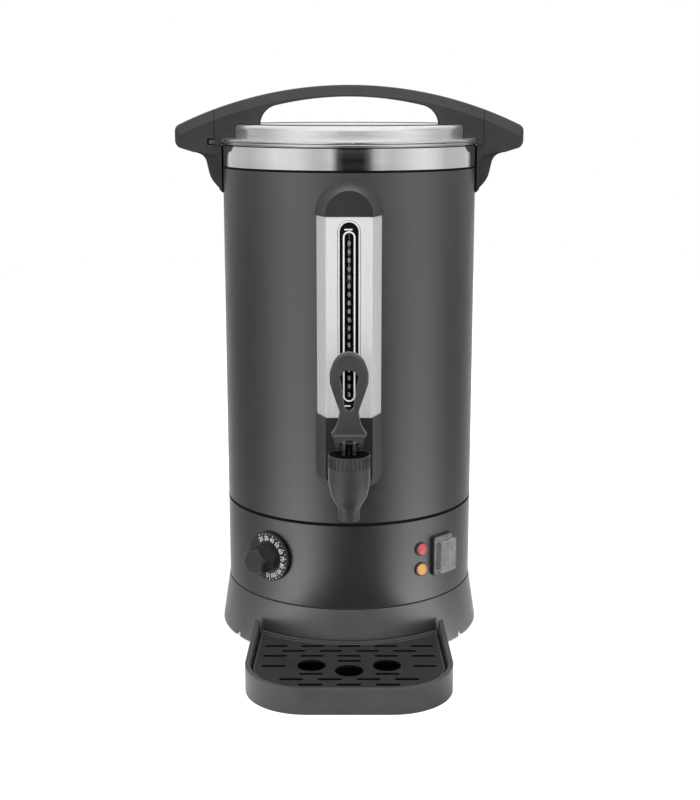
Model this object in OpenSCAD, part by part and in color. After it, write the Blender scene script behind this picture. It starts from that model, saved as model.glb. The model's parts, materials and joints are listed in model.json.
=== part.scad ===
// Hot water urn: a double-walled boiler with a twist-lock lid, level gauge,
// spring-return tap, thermostat dial, rocker switch and slide-out drip tray.
// Millimetres. +Z up, -Y is the front, the origin is under the middle of the
// body, on the surface that the feet stand on.

/* [Body] */
// Outer radius of the painted shell
body_r = 125; // [118:0.5:135]
// Thickness of the painted sheet
shell_t = 1.2; // [1:0.1:1.8]
// Height of the skirt's lower edge above the table
foot_lift = 1.5; // [1:0.1:3]
// Height of the moulded skirt
skirt_h = 48.4; // [44:0.2:58]
// How far the skirt's lower edge stands out past its top edge
skirt_flare = 7.1; // [4:0.1:10]
// Wall of the skirt
skirt_t = 3; // [2.5:0.1:4]
// Height of the lower housing that holds the controls
lower_h = 85.2; // [82:0.2:100]
// Height of the outer shell round the pot
shell_h = 335; // [325:1:350]
// Height of the bare steel collar above the shell
collar_h = 20.7; // [17:0.1:24]
// Visible gap at each seam of the body
seam_gap = 0.6; // [0.3:0.1:1]
// Depth of the spigots that locate the body's rings in each other
spigot_h = 9; // [6:0.5:12]

/* [Pot] */
// Gap from the outside of the pot to the outside of the shell
pot_gap = 14; // [12:0.5:18]
// Thickness of the pot's sheet
pot_t = 1; // [0.8:0.1:1.5]
// Height of the pot's floor above the seam over the lower housing
pot_up = 29.4; // [28:0.2:36]
// Radius of the rolled bead round the pot's rim
bead_r = 1.4; // [1.2:0.1:1.6]

/* [Lid] */
// How far the lid's flange stands out past the shell
lid_overhang = 1.5; // [1.2:0.1:2]
// Thickness of the lid's sheet
lid_t = 1.2; // [0.8:0.1:1.6]
// Gap between the pot's bead and the lid's flange, filled by the gasket
lid_gap = 1.2; // [1:0.1:2]
// How far the lid's raised drum stands in from the shell
drum_inset = 12.4; // [11:0.1:14]
// Height of the drum above the flange
drum_h = 13.5; // [11:0.5:16]
// Rounding of the drum's top edge
drum_round = 4.5; // [3:0.5:6]

/* [Handles] */
// Radius of the long curve along the top of the handles
bow_r = 388; // [380:1:400]
// Height of that curve above the lid
bow_rise = 37.9; // [36:0.1:42]
// Depth of the handles from front to back
handle_w = 30; // [26:1:34]
// Thickness of the lid handle at its middle
bow_t = 11.3; // [9:0.1:12]
// Height of the sloped face along the handles' upper edges
slope_h = 9.8; // [8:0.1:10.5]
// How far that face leans inwards
slope_in = 4.5; // [3:0.1:6]
// Distance from the shell to the split between the lid's handle and the side handles
seam_out = 8; // [7.5:0.1:9]
// How far each side handle's tip stands out from the shell
wing_reach = 46.6; // [44:0.2:50]
// Distance from the lid's flange down to the inner end of the wings' underside
wing_drop = 14.6; // [13:0.2:17]
// Slope of that underside, up towards the tip
wing_slope = 17; // [10:1:20]
// Length of the side handles' legs below the shell's top edge
leg_drop = 27; // [25:0.5:32]
// Thickness of the web under each side handle
web_t = 16; // [14:0.5:20]

/* [Level gauge] */
// Width of the gauge's front face
gauge_w = 44; // [40:0.5:46]
// Width of the gauge where it meets the shell
gauge_base_w = 63; // [58:0.5:66]
// Depth of the gauge from the shell to its front face
gauge_depth = 18.5; // [17.5:0.1:21]
// Height of the steel cover's lower end above the tap's shank
cover_up = 42.9; // [40:0.1:46]
// Distance from the collar down to the cover's upper end
cap_drop = 40.3; // [38:0.1:46]
// Thickness of the steel cover
cover_t = 1.2; // [1:0.1:1.5]
// Width of the slot in the cover
slot_w = 17.3; // [16:0.1:19]
// Steel left above and below the slot
slot_margin = 4.7; // [4:0.1:8]
// Outer radius of the sight glass
glass_r = 4.5; // [4:0.1:4.8]
// Wall of the sight glass
glass_t = 1.5; // [1:0.1:2]

/* [Tap] */
// Height of the tap's shank above the pot's floor
tap_up = 37; // [35.5:0.5:40]
// Distance from the shell to the spout's axis
tap_reach = 48; // [46:0.5:56]
// Outer radius of the tap's bell
bell_r = 19.2; // [18.5:0.1:20.5]
// Outer radius of the spout
spout_r = 9.7; // [9:0.1:10.5]
// Bore radius of the spout
spout_bore_r = 6.5; // [5:0.1:7]
// Length of the spout's straight end
spout_h = 11.6; // [8:0.2:14]
// Lift of the tap's stem when the lever is down
stem_lift = 4.5; // [3:0.1:5]
// Height of the lever above its pin
lever_h = 84; // [78:0.5:92]
// Width of the lever's loop
loop_w = 35.2; // [32:0.2:38]
// Thickness of the lever's loop
loop_t = 10; // [8:0.5:12]

/* [Controls] */
// Height of the thermostat's axis above the seam under the lower housing
dial_up = 45.6; // [42:0.2:52]
// Angle of the dial from the front, to the left
dial_az = 38; // [34:0.5:44]
// Radius of the numbered dial
dial_r = 24.7; // [23:0.1:26]
// Radius over the corners of the hexagonal knob
knob_r = 14; // [12:0.5:16]
// How far the knob stands out from the shell
knob_out = 26; // [24:0.5:32]
// Angle of the pilot lamps from the front, to the right
lamp_az = 34.1; // [31:0.1:35]
// Height difference between the pilot lamps
lamp_pitch = 20.6; // [17:0.1:24]
// Radius of a lamp's lens
lamp_r = 5.9; // [5:0.1:6.2]
// Angle of the rocker switch from the front, to the right
switch_az = 46.5; // [46:0.1:52]
// Width of the switch's flange
switch_w = 28; // [27:0.5:30]
// Height of the switch's flange
switch_h = 40; // [38:0.5:44]
// How far the switch's clear boot stands out
boot_out = 11; // [10.5:0.1:13]

/* [Drip tray] */
// Half width of the tray at its front corners
tray_half_w = 96; // [92:0.5:98]
// Half width of the tray where it meets the skirt
tray_half_back = 92.5; // [88:0.5:95]
// Distance from the body's axis to the tray's front
tray_front = 255; // [245:1:262]
// Radius of the tray's front corners
tray_corner = 58; // [50:1:62]
// Height of the tray's rim at the front
tray_h = 24.3; // [22:0.1:27]
// Rise of the rim from the front to the back
tray_rise = 3.8; // [2:0.1:5]
// Width of the tray's rim
rim_w = 4.5; // [3.5:0.1:6]
// Thickness of the tray's floor
tray_floor = 2.5; // [2:0.1:3.5]
// Thickness of the grille
grille_t = 2.5; // [2:0.1:3.5]
// Length of a slot in the grille
grille_slot = 22.3; // [18:0.1:25]
// Width of a slot in the grille
grille_slot_w = 4.6; // [3:0.1:5]
// Spacing of the slots across the grille
slot_pitch_x = 35; // [33:0.1:36]
// Spacing of the rows of slots
slot_pitch_y = 12; // [11:0.1:12]
// Radius of the three cup holes
cup_hole_r = 13.2; // [10:0.1:13.5]

/* [Clearances] */
// Radial gap of turning and sliding fits
run_fit = 0.06; // [0.02:0.01:0.1]
// Gap between pieces that sit in or on each other
seat_fit = 0.1; // [0.05:0.01:0.2]
// Gap between pieces that move past each other
move_gap = 0.3; // [0.2:0.05:0.5]

/* [Hidden] */
$fn = 96;

// Heights of the body's seams, from the table up
z_skirt = foot_lift;
z_lower = z_skirt + skirt_h;
z_shell = z_lower + lower_h;
z_collar = z_shell + shell_h;
z_rim = z_collar + collar_h;
z_bead = z_rim + bead_r + seat_fit;
z_pot = z_shell + pot_up;
z_lid = z_bead + bead_r + lid_gap;
z_flange = z_lid + lid_t;
z_top = z_flange + drum_h;

// How far a cut runs past the piece that it cuts
past = 10;

// Body rings
skirt_top_r = body_r + 0.5;
skirt_low_r = skirt_top_r + skirt_flare;
shell_in_r = body_r - shell_t;
spigot_r = shell_in_r - seat_fit;
spigot_t = 1.2;
joggle_h = 6;
skirt_spigot_t = 2.5;
skirt_shoulder = 6;
notch_w = 8;
notch_h = 4;
notch_angles = [-58.4, 58.4, -121.6, 121.6];

// Base
plate_t = 1.2;
plate_z = foot_lift + 8.5;
plate_gap = 0.6;
boss_count = 6;
boss_r = 5;
boss_in = 7;
boss_at_r = body_r - boss_in;
boss_rib_t = 3;
base_screw_r = 1.5;
base_screw_head_r = 3.6;
base_screw_head_h = 2.2;
base_screw_len = 14;
foot_count = 4;
foot_in = 22;
foot_at_r = body_r - foot_in;
foot_r = 11;
foot_neck_r = 9;
foot_edge = 2;
vent_count = 5;
vent_len = 34;
vent_w = 4;
vent_pitch = 10;
vent_x = 62;

// Pot and collar
pot_corner = 8;
pot_r = body_r - pot_gap;
pot_in_r = pot_r - pot_t;
bead_at_r = body_r - 1;
rim_flange_t = 1;
gasket_in_r = pot_in_r - 1.8;
gasket_out_r = body_r - 4;
gasket_lip_t = 1.5;
gasket_lip_h = 6;
lid_r = body_r + lid_overhang;
drum_r = body_r - drum_inset;
lid_bead_r = 1.1;

// Handles
bow_c = z_top + bow_rise - bow_r;
half_w = handle_w / 2;
edge_round = 2.5;
wing_z = z_flange - wing_drop;
leg_z = z_collar - leg_drop;
wing_x = body_r + wing_reach;
seam_r = body_r + seam_out;
tip_round = 8;
tip_slope = 5;
tip_flat = half_w - 7;
leg_t = 3.3;
leg_relief = 1.4;
relief_w = 3;
hollow_round = 11;
hollow_x = body_r + 26.6;
hollow_z = wing_z - 10.6;
belly_round = 25;
belly_x = body_r - 10.8;
belly_z = leg_z + 25.5;
belly_low = 43;
web_lean = 12.6;
rib_round = 6;
rib_drop = 1.5;
apron_gap = 0.5;
apron_drop = 6.9;
apron_z = z_flange - apron_drop;
seam_clear = 0.4;
hand_inset = 23.8;
hand_x = drum_r - hand_inset;
hand_round = 20;
hand_flat_r = 320;
lock_reach = 6.2;
lock_h = 6.5;
lock_depth = 11;
handle_screw_r = 2.4;
handle_head_r = 4.5;
handle_head_h = 2.8;
handle_screw_len = 7;
handle_screw_down = 14.5;
handle_screw_up = 4.5;
handle_screw_z = [z_collar - handle_screw_down, z_collar + handle_screw_up];
lid_screw_in = 14.6;
lid_screw_x = drum_r - lid_screw_in;
lid_screw_y = 8;
lid_screw_len = 11;

// Gauge
tap_z = z_pot + tap_up;
front_y = body_r + gauge_depth;
base_in = 4;
base_y = body_r - base_in;
z_cover = tap_z + cover_up;
z_cover_top = z_collar - cap_drop;
cover_h = z_cover_top - z_cover;
cover_in = 1;
cap_up = 1.6;
cap_gap = 0.4;
housing_drop = 12.5;
housing_round = 9.5;
wrap_gap = 0.2;
housing_t = 2.5;
slot_rim_w = 2.3;
slot_rim_h = 0.6;
window_w = 6.2;
window_rim = 2.5;
window_margin = 7.8;
back_t = 2;
back_w = 38;
glass_y = front_y - 10.5;
glass_low = tap_z + 27.5;
glass_top = z_cover_top + 6;
seal_r = glass_r + 1.8;
seal_low_h = 15;
seal_top_h = 9;

// Tap
tap_y = body_r + tap_reach;
bell_top = tap_z + 16;
bonnet_h = 11.5;
bell_low = tap_z - 4.65;
bell_round = 62;
bell_ease = 15;
waist_round = 26;
waist_bend = 35;
throat_z = tap_z - 34.5;
throat_low = throat_z - 5;
throat_round = 17.4;
spout_z = throat_z - spout_h;
neck_r = bell_r - 2.8;
chamber_r = neck_r - 2;
seat_z = throat_z + 6;
shank_r = 8;
shank_bore_r = 4.5;
shank_end = pot_r - 13;
collar_r = 13;
boss_out_r = 10.5;
collar_t = 4;
nut_r = 14;
nut_t = 7;
washer_r = 13;
washer_t = 2;
bonnet_top_t = 3;
rib_count = 32;
rib_w = 1.5;
rib_h = 0.7;
stem_r = 3;
pin_r = 2;
pin_up = 10.5;
pin_z = bell_top + pin_up;
pin_len = 24;
eye_r = 4.6;
eye_w = 6.2;
cam_low = pin_up - move_gap;
cam_rise = stem_lift / (PI / 2);
cam_leg_t = 2.9;
cheek_in = eye_w / 2 + move_gap;
cheek_out = 13.3;
cheek_up = 3.9;
cheek_t = 5;
cheek_lean = 2.2;
foot_z = 4.2;
ear_x = 16.2;
flare_round = 26.6;
bridge_y = 13.2;
neck_w = 16.2;
neck_up = 27;
hole_low = 34;
hole_high = 60;
stem_flange_r = 7;
stem_flange_t = 2;
plug_r = 9.6;
plug_h = 12;
spring_r = 6.2;
spring_wire = 0.6;
spring_turns = 6;
spring_sides = 6;
spring_steps = 14;
riser_r = 2.4;
tee_w = 18;
socket_r = 9.2;

// Controls
z_dial = z_lower + dial_up;
z_lamps = z_dial - 1.7;
z_switch = z_lower + 44.1;
dial_t = 3.2;
dial_gap = 1.2;
shaft_r = 3;
bush_r = 5;
bush_out = 0.8;
thermo_r = 18;
thermo_len = 30;
thermo_neck_r = 12;
hub_r = 6.9;
knob_face_r = 10.9;
knob_rest = 15;
lamp_tube_r = lamp_r + 0.1;
lamp_ring_r = lamp_r + 1.2;
lamp_body_len = 22;
switch_hole_w = 22;
switch_hole_h = 30;
flange_t = 2.5;
flange_sag = 1.2;
switch_deep = 28;
well_w = 18;
well_h = 26;
well_deep = 9;
rocker_tilt = 12;
rocker_axis = -1.5;
switch_pin_r = 1;
switch_pin_len = well_w + 3;
boot_w = 22;
boot_h = 33;
boot_t = 1.2;
gland_z = z_lower + 25;
gland_r = 8;
gland_out = 7;
gland_in = 12;
cord_r = 4.2;

// Drip tray
tray_corner_y = tray_front - tray_corner;
tray_back_y = 80;
tray_back_r = skirt_low_r + 1;
ledge_w = 2.5;
grille_z = tray_h - 6.6;
grille_gap = 0.5;
tongue_w = 80;
tongue_t = 3;
tongue_z = 4.5;
tongue_len = 14;
row_y = body_r + 20.5;
row_count = 8;

// Heater
heater_r = 85;
heater_t = 5;
coil_at_r = 58;
coil_r = 4;
coil_angle = 320;
cutout_r = 9;
cutout_h = 9;
shield_z = z_shell + 5;
shield_t = 0.8;
terminal_size = [42, 20, 16];
bulb_r = 3;
bulb_len = 28;
capillary_r = 1;
capillary_bend = 8;

// Colours of the real finishes
black_plastic = [0.13, 0.13, 0.14];
dark_paint = [0.2, 0.2, 0.21];
steel = [0.78, 0.78, 0.77];
rubber_black = [0.08, 0.08, 0.08];

// ---------------------------------------------------------------- helpers

// Points of an arc in the plane, from angle a to angle b
function arc(x, y, r, a, b, steps = 8) =
    [for (i = [0:steps]) [x + r * cos(a + (b - a) * i / steps),
                          y + r * sin(a + (b - a) * i / steps)]];

// Puts children on the body's wall: local Z outwards, X to the right, Y up
module on_wall(az, z) {
    rotate([0, 0, az])
        translate([0, -body_r, z])
            rotate([90, 0, 0])
                children();
}

// A ring with a round bore, from z up
module ring(r, bore, z, h) {
    translate([0, 0, z])
        difference() {
            cylinder(r = r, h = h);
            translate([0, 0, -1])
                cylinder(r = bore, h = h + 2);
        }
}

// Cylinder whose axis runs towards the front, from y = -from to y = -to
module front_cylinder(r, from, to, z, x = 0) {
    translate([x, -from, z])
        rotate([90, 0, 0])
            cylinder(r = r, h = to - from);
}

// Extrudes a front-view outline (x, z) evenly about the plane y = 0
module front_extrude(depth) {
    rotate([90, 0, 0])
        linear_extrude(depth, center = true)
            children();
}

// Slot outline with round ends, centred, its length along X
module slot_outline(length, width) {
    square([length - width, width], center = true);
    for (side = [-1, 1])
        translate([side * (length - width) / 2, 0])
            circle(d = width);
}

// Rounded rectangle, centred
module soft_rectangle(w, h, r) {
    square([w - 2 * r, h], center = true);
    square([w, h - 2 * r], center = true);
    for (x = [-1, 1], y = [-1, 1])
        translate([x * (w / 2 - r), y * (h / 2 - r)])
            circle(r = r);
}

// ------------------------------------------------------------------- body

module base_skirt() {
    wall = [
        [skirt_low_r, z_skirt],
        [skirt_top_r, z_lower - seam_gap],
        [spigot_r, z_lower - seam_gap],
        [spigot_r, z_lower + spigot_h],
        [spigot_r - skirt_spigot_t, z_lower + spigot_h],
        [spigot_r - skirt_spigot_t, z_lower - skirt_shoulder],
        [skirt_low_r - skirt_t, z_skirt]
    ];
    boss_h = z_lower - skirt_shoulder - plate_z - plate_t;
    color(black_plastic)
    difference() {
        union() {
            rotate_extrude() polygon(wall);
            for (i = [0:boss_count - 1])
                rotate([0, 0, (i + 0.5) * 360 / boss_count])
                    translate([boss_at_r, 0, plate_z + plate_t]) {
                        cylinder(r = boss_r, h = boss_h, $fn = 48);
                        translate([0, -boss_rib_t / 2, 0])
                            cube([spigot_r - boss_at_r, boss_rib_t, boss_h]);
                    }
        }
        for (i = [0:boss_count - 1])
            rotate([0, 0, (i + 0.5) * 360 / boss_count])
                translate([boss_at_r, 0, plate_z])
                    cylinder(r = base_screw_r + seat_fit, h = base_screw_len + 2, $fn = 32);
        for (az = notch_angles)
            rotate([0, 0, az])
                translate([-notch_w / 2, -skirt_low_r - 5, z_skirt - 1])
                    cube([notch_w, 15, notch_h + 1]);
        translate([-tongue_w / 2 - move_gap, -skirt_low_r - 5, tongue_z - move_gap])
            cube([tongue_w + 2 * move_gap, 25, tongue_t + 2 * move_gap]);
    }
}

module base_plate() {
    plate_r = skirt_low_r - skirt_t - plate_gap
        - (plate_z - z_skirt) * (skirt_low_r - skirt_t - spigot_r + skirt_spigot_t)
        / (skirt_h - skirt_shoulder);
    color(steel)
    difference() {
        translate([0, 0, plate_z])
            cylinder(r = plate_r, h = plate_t);
        for (i = [0:boss_count - 1])
            rotate([0, 0, (i + 0.5) * 360 / boss_count])
                translate([boss_at_r, 0, plate_z - 1])
                    cylinder(r = base_screw_r + 0.4, h = plate_t + 2, $fn = 32);
        for (side = [-1, 1], i = [0:vent_count - 1])
            translate([side * vent_x, (i - (vent_count - 1) / 2) * vent_pitch, plate_z - 1])
                linear_extrude(plate_t + 2)
                    slot_outline(vent_len, vent_w, $fn = 32);
    }
}

module base_screws() {
    color(steel)
    for (i = [0:boss_count - 1])
        rotate([0, 0, (i + 0.5) * 360 / boss_count])
            translate([boss_at_r, 0, plate_z]) {
                cylinder(r = base_screw_r, h = base_screw_len, $fn = 32);
                translate([0, 0, -base_screw_head_h])
                    cylinder(r1 = base_screw_head_r - 0.8, r2 = base_screw_head_r,
                             h = base_screw_head_h, $fn = 32);
            }
}

module rubber_feet() {
    side = [
        [0, 0], [foot_r - foot_edge, 0], [foot_r, foot_edge],
        [foot_neck_r, plate_z], [0, plate_z]
    ];
    color(rubber_black)
    for (i = [0:foot_count - 1])
        rotate([0, 0, (i + 0.5) * 360 / foot_count])
            translate([foot_at_r, 0, 0])
                rotate_extrude($fn = 48) polygon(side);
}

module lower_housing() {
    wall = [
        [body_r, z_lower], [body_r, z_shell - seam_gap],
        [spigot_r, z_shell - seam_gap], [spigot_r, z_shell + spigot_h],
        [spigot_r - spigot_t, z_shell + spigot_h], [spigot_r - spigot_t, z_shell - joggle_h],
        [shell_in_r, z_shell - joggle_h - spigot_t], [shell_in_r, z_lower]
    ];
    color(dark_paint)
    difference() {
        rotate_extrude() polygon(wall);
        on_wall(-dial_az, z_dial)
            translate([0, 0, -10])
                cylinder(r = bush_r + seat_fit, h = 20);
        for (side = [-1, 1])
            on_wall(lamp_az, z_lamps + side * lamp_pitch / 2)
                translate([0, 0, -10])
                    cylinder(r = lamp_tube_r + seat_fit, h = 20);
        on_wall(switch_az, z_switch)
            cube([switch_hole_w, switch_hole_h, 20], center = true);
        on_wall(180, gland_z)
            translate([0, 0, -10])
                cylinder(r = gland_r + seat_fit, h = 20);
    }
}

module outer_shell() {
    color(dark_paint)
    difference() {
        ring(body_r, shell_in_r, z_shell, shell_h - seam_gap);
        front_cylinder(shank_r + 2, body_r - past, body_r + past, tap_z);
        for (az = [-90, 90], z = handle_screw_z)
            on_wall(az, z)
                translate([0, 0, -10])
                    cylinder(r = handle_screw_r + seat_fit, h = 20, $fn = 32);
    }
}

module rim_collar() {
    wall = [
        [body_r, z_collar], [body_r, z_rim], [shell_in_r, z_rim],
        [shell_in_r, z_collar + joggle_h + spigot_t],
        [spigot_r - spigot_t, z_collar + joggle_h],
        [spigot_r - spigot_t, z_collar - spigot_h],
        [spigot_r, z_collar - spigot_h], [spigot_r, z_collar]
    ];
    color(steel)
    difference() {
        rotate_extrude() polygon(wall);
        for (az = [-90, 90])
            on_wall(az, handle_screw_z[1])
                translate([0, 0, -10])
                    cylinder(r = handle_screw_r + seat_fit, h = 20, $fn = 32);
    }
}

module inner_pot() {
    color(steel)
    difference() {
        rotate_extrude() {
            translate([0, z_pot])
                square([pot_r - pot_corner, pot_t]);
            translate([pot_r - pot_corner, z_pot + pot_corner])
                intersection() {
                    difference() {
                        circle(r = pot_corner);
                        circle(r = pot_corner - pot_t);
                    }
                    translate([0, -pot_corner])
                        square(pot_corner);
                }
            translate([pot_in_r, z_pot + pot_corner])
                square([pot_t, z_rim + rim_flange_t - z_pot - pot_corner]);
            translate([pot_in_r, z_rim])
                square([bead_at_r - pot_in_r, rim_flange_t]);
            translate([bead_at_r, z_bead])
                circle(r = bead_r, $fn = 32);
        }
        front_cylinder(shank_r + seat_fit, pot_r - past, pot_r + past, tap_z);
    }
}

// ---------------------------------------------------------------- handles

// The long bow that the tops of all three handles share
module bow_solid() {
    low = bow_r - slope_h;
    high = half_w - slope_in;
    translate([0, 0, bow_c])
        rotate([90, 0, 0])
            rotate_extrude($fn = 360)
                polygon([
                    [0, -half_w], [low, -half_w],
                    [bow_r - edge_round, -high - 0.6], [bow_r - 0.7, -high + 0.4],
                    [bow_r, -high + edge_round], [bow_r, high - edge_round],
                    [bow_r - 0.7, high - 0.4], [bow_r - edge_round, high + 0.6],
                    [low, half_w], [0, half_w]
                ]);
}

// The lid's drum and flange, grown by a clearance, as the handle sits on them
module lid_form(grow) {
    translate([0, 0, z_flange - 1])
        cylinder(r = drum_r + grow, h = 1 + drum_h - drum_round);
    translate([0, 0, z_flange - 1])
        cylinder(r = drum_r - drum_round, h = 1 + drum_h);
    rotate_extrude()
        translate([drum_r - drum_round, z_top - drum_round])
            intersection() {
                circle(r = drum_round + grow);
                square(drum_round + grow);
            }
    translate([0, 0, apron_z - 1])
        cylinder(r = lid_r + apron_gap, h = z_flange - apron_z + 1);
}

// Front view of the hand opening between the lid and the bow
module hand_opening() {
    under_c = z_top + bow_rise - bow_t - hand_flat_r;
    corner_r = hand_flat_r - hand_round;
    corner_x = hand_x - hand_round;
    corner_z = under_c + sqrt(pow(corner_r, 2) - pow(corner_x, 2));
    bend = asin(corner_x / corner_r);
    right = concat(
        arc(corner_x, corner_z, hand_round, 0, 90 - bend),
        arc(0, under_c, hand_flat_r, 90 - bend, 90)
    );
    left = [for (i = [len(right) - 2:-1:0]) [-right[i][0], right[i][1]]];
    polygon(concat([[hand_x, apron_z - past]], right, left, [[-hand_x, apron_z - past]]));
}

module lid_handle() {
    color(black_plastic)
    difference() {
        intersection() {
            bow_solid();
            front_extrude(handle_w + 2)
                difference() {
                    translate([-seam_r, apron_z])
                        square([2 * seam_r, bow_r]);
                    hand_opening();
                }
            cylinder(r = seam_r - seam_clear / 2, h = 2 * z_top);
        }
        lid_form(0.3);
        for (x = [-1, 1], y = [-1, 1])
            translate([x * lid_screw_x, y * lid_screw_y, z_top - 1])
                cylinder(r = handle_screw_r + seat_fit, h = lid_screw_len + 2, $fn = 32);
    }
}

// Front view of the right side handle with its web. The wing's underside
// slopes up to the tip, and a hollow round leads down into the web's belly
module side_outline() {
    top_r = bow_r - tip_round;
    top_x = wing_x - tip_round;
    top_z = bow_c + sqrt(pow(top_r, 2) - pow(top_x, 2));
    lean = asin(top_x / top_r);
    under_x = top_x + tip_round * sin(wing_slope) - hollow_x + hollow_round * sin(wing_slope);
    low_z = wing_z + tan(wing_slope) * under_x + tip_round * cos(wing_slope);
    polygon(concat(
        [[body_r - 5, leg_z], [body_r, leg_z]],
        arc(belly_x, belly_z, belly_round, -belly_low, -web_lean),
        arc(hollow_x, hollow_z, hollow_round, 180 - web_lean, 90 + wing_slope),
        arc(top_x, low_z, tip_round, wing_slope - 90, 0),
        arc(top_x, top_z, tip_round, 0, 90 - lean),
        [[top_x + tip_round * sin(lean), z_top + bow_rise],
         [body_r - 5, z_top + bow_rise]]
    ));
}

// Front view of the hollow on each side of the web, bounded by a rib
module web_recess() {
    rib_x = body_r + leg_t;
    rib_z = wing_z - rib_drop;
    polygon(concat(
        [[rib_x, leg_z - past]],
        arc(rib_x + rib_round, rib_z - rib_round, rib_round, 180, 90 + wing_slope),
        [[hollow_x - 5, rib_z + 3], [hollow_x + 1, wing_z + 1], [wing_x, leg_z - past]]
    ));
}

// Plan view of the handles' ends, with sloped corners
module wing_plan() {
    polygon([
        [0, -half_w - 1], [wing_x - tip_slope, -half_w - 1], [wing_x - tip_slope, -half_w],
        [wing_x, -tip_flat], [wing_x, tip_flat],
        [wing_x - tip_slope, half_w], [wing_x - tip_slope, half_w + 1], [0, half_w + 1]
    ]);
}

// Side handle in the right-hand place. The lock's recess opens at front_side
module side_handle(front_side) {
    difference() {
        union() {
            intersection() {
                bow_solid();
                front_extrude(handle_w + 2)
                    difference() {
                        side_outline();
                        web_recess();
                    }
                linear_extrude(2 * z_top) wing_plan();
            }
            front_extrude(web_t)
                intersection() {
                    side_outline();
                    translate([body_r - 5, leg_z])
                        square([wing_reach, wing_z + 2 - leg_z]);
                }
        }
        cylinder(r = body_r + wrap_gap, h = 2 * z_top);
        difference() {
            cylinder(r = body_r + leg_relief, h = 2 * z_top);
            translate([0, 0, z_top])
                cube([4 * body_r, handle_w - 2 * relief_w, 3 * z_top], center = true);
        }
        translate([0, 0, apron_z - seam_clear])
            cylinder(r = seam_r + seam_clear / 2, h = z_top);
        translate([seam_r - 5, front_side < 0 ? -half_w - 1 : half_w - lock_depth,
                   apron_z + seam_clear])
            cube([lock_reach + 5, lock_depth + 1, lock_h]);
        for (z = handle_screw_z)
            translate([body_r - 5, 0, z])
                rotate([0, 90, 0])
                    cylinder(r = handle_screw_r + seat_fit, h = handle_screw_len + 5.5, $fn = 32);
    }
}

module side_handle_right() {
    color(black_plastic) side_handle(1);
}

module side_handle_left() {
    color(black_plastic) mirror([1, 0, 0]) side_handle(-1);
}

module handle_screws() {
    head_out = spigot_r - spigot_t;
    color(steel)
    for (az = [-90, 90], i = [0, 1]) {
        seat_r = i == 0 ? shell_in_r : head_out;
        rotate([0, 0, az])
            translate([0, -seat_r + handle_head_h, handle_screw_z[i]])
                rotate([90, 0, 0]) {
                    cylinder(r = handle_head_r, h = handle_head_h - 0.2, $fn = 32);
                    cylinder(r = handle_screw_r,
                             h = body_r - seat_r + handle_head_h + handle_screw_len, $fn = 32);
                }
    }
}

// -------------------------------------------------------------------- lid

module lid_pan() {
    color(steel)
    difference() {
        rotate_extrude() {
            translate([0, z_top - lid_t])
                square([drum_r - drum_round, lid_t]);
            translate([drum_r - drum_round, z_top - drum_round])
                intersection() {
                    difference() {
                        circle(r = drum_round);
                        circle(r = drum_round - lid_t);
                    }
                    square(drum_round);
                }
            translate([drum_r - lid_t, z_lid])
                square([lid_t, z_top - drum_round - z_lid]);
            translate([drum_r - lid_t, z_lid])
                square([lid_r - lid_bead_r - drum_r + lid_t, lid_t]);
            translate([lid_r - lid_bead_r, z_flange - lid_bead_r])
                circle(r = lid_bead_r, $fn = 32);
        }
        for (x = [-1, 1], y = [-1, 1])
            translate([x * lid_screw_x, y * lid_screw_y, z_top - 5])
                cylinder(r = handle_screw_r + seat_fit, h = 10, $fn = 32);
    }
}

module lid_gasket() {
    low = z_rim + rim_flange_t + 0.2;
    high = z_lid - 0.2;
    color(rubber_black)
    rotate_extrude() {
        translate([gasket_in_r, low])
            square([gasket_out_r - gasket_in_r, high - low]);
        translate([gasket_in_r, low - gasket_lip_h])
            square([gasket_lip_t, gasket_lip_h]);
    }
}

module lid_screws() {
    color(steel)
    for (x = [-1, 1], y = [-1, 1])
        translate([x * lid_screw_x, y * lid_screw_y, z_top - lid_t]) {
            translate([0, 0, -handle_head_h])
                cylinder(r = handle_head_r, h = handle_head_h, $fn = 32);
            cylinder(r = handle_screw_r, h = lid_screw_len, $fn = 32);
        }
}

// ------------------------------------------------------------ level gauge

// Tapered channel from z = low up, inset by a wall thickness
module gauge_prism(low, high, inset = 0) {
    base_x = gauge_base_w / 2 - 1.2 * inset;
    front_x = gauge_w / 2 - 0.85 * inset;
    translate([0, 0, low])
        linear_extrude(high - low)
            polygon([
                [-base_x, -base_y], [-front_x, -front_y + inset],
                [front_x, -front_y + inset], [base_x, -base_y]
            ]);
}

// Round end of the channel, centred at height z
module gauge_cone(z, inset = 0) {
    translate([0, -base_y, z])
        rotate([90, 0, 0])
            cylinder(r1 = gauge_base_w / 2 - 1.2 * inset, r2 = gauge_w / 2 - 0.85 * inset,
                     h = front_y - inset - base_y);
}

// Clears the body's curve behind a gauge piece
module shell_form() {
    translate([0, 0, z_shell - 10])
        cylinder(r = body_r + wrap_gap, h = shell_h + 20);
}

module gauge_cap() {
    color(black_plastic)
    difference() {
        union() {
            intersection() {
                gauge_cone(z_cover_top + cap_up);
                translate([-gauge_base_w, -front_y - 1, z_cover_top + cap_up])
                    cube([2 * gauge_base_w, front_y, gauge_base_w]);
            }
            gauge_prism(z_cover_top + cap_gap, z_cover_top + cap_up);
        }
        shell_form();
        translate([0, -glass_y, z_cover_top - 1])
            cylinder(r = seal_r + seat_fit, h = seal_top_h + 1.5);
    }
}

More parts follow.
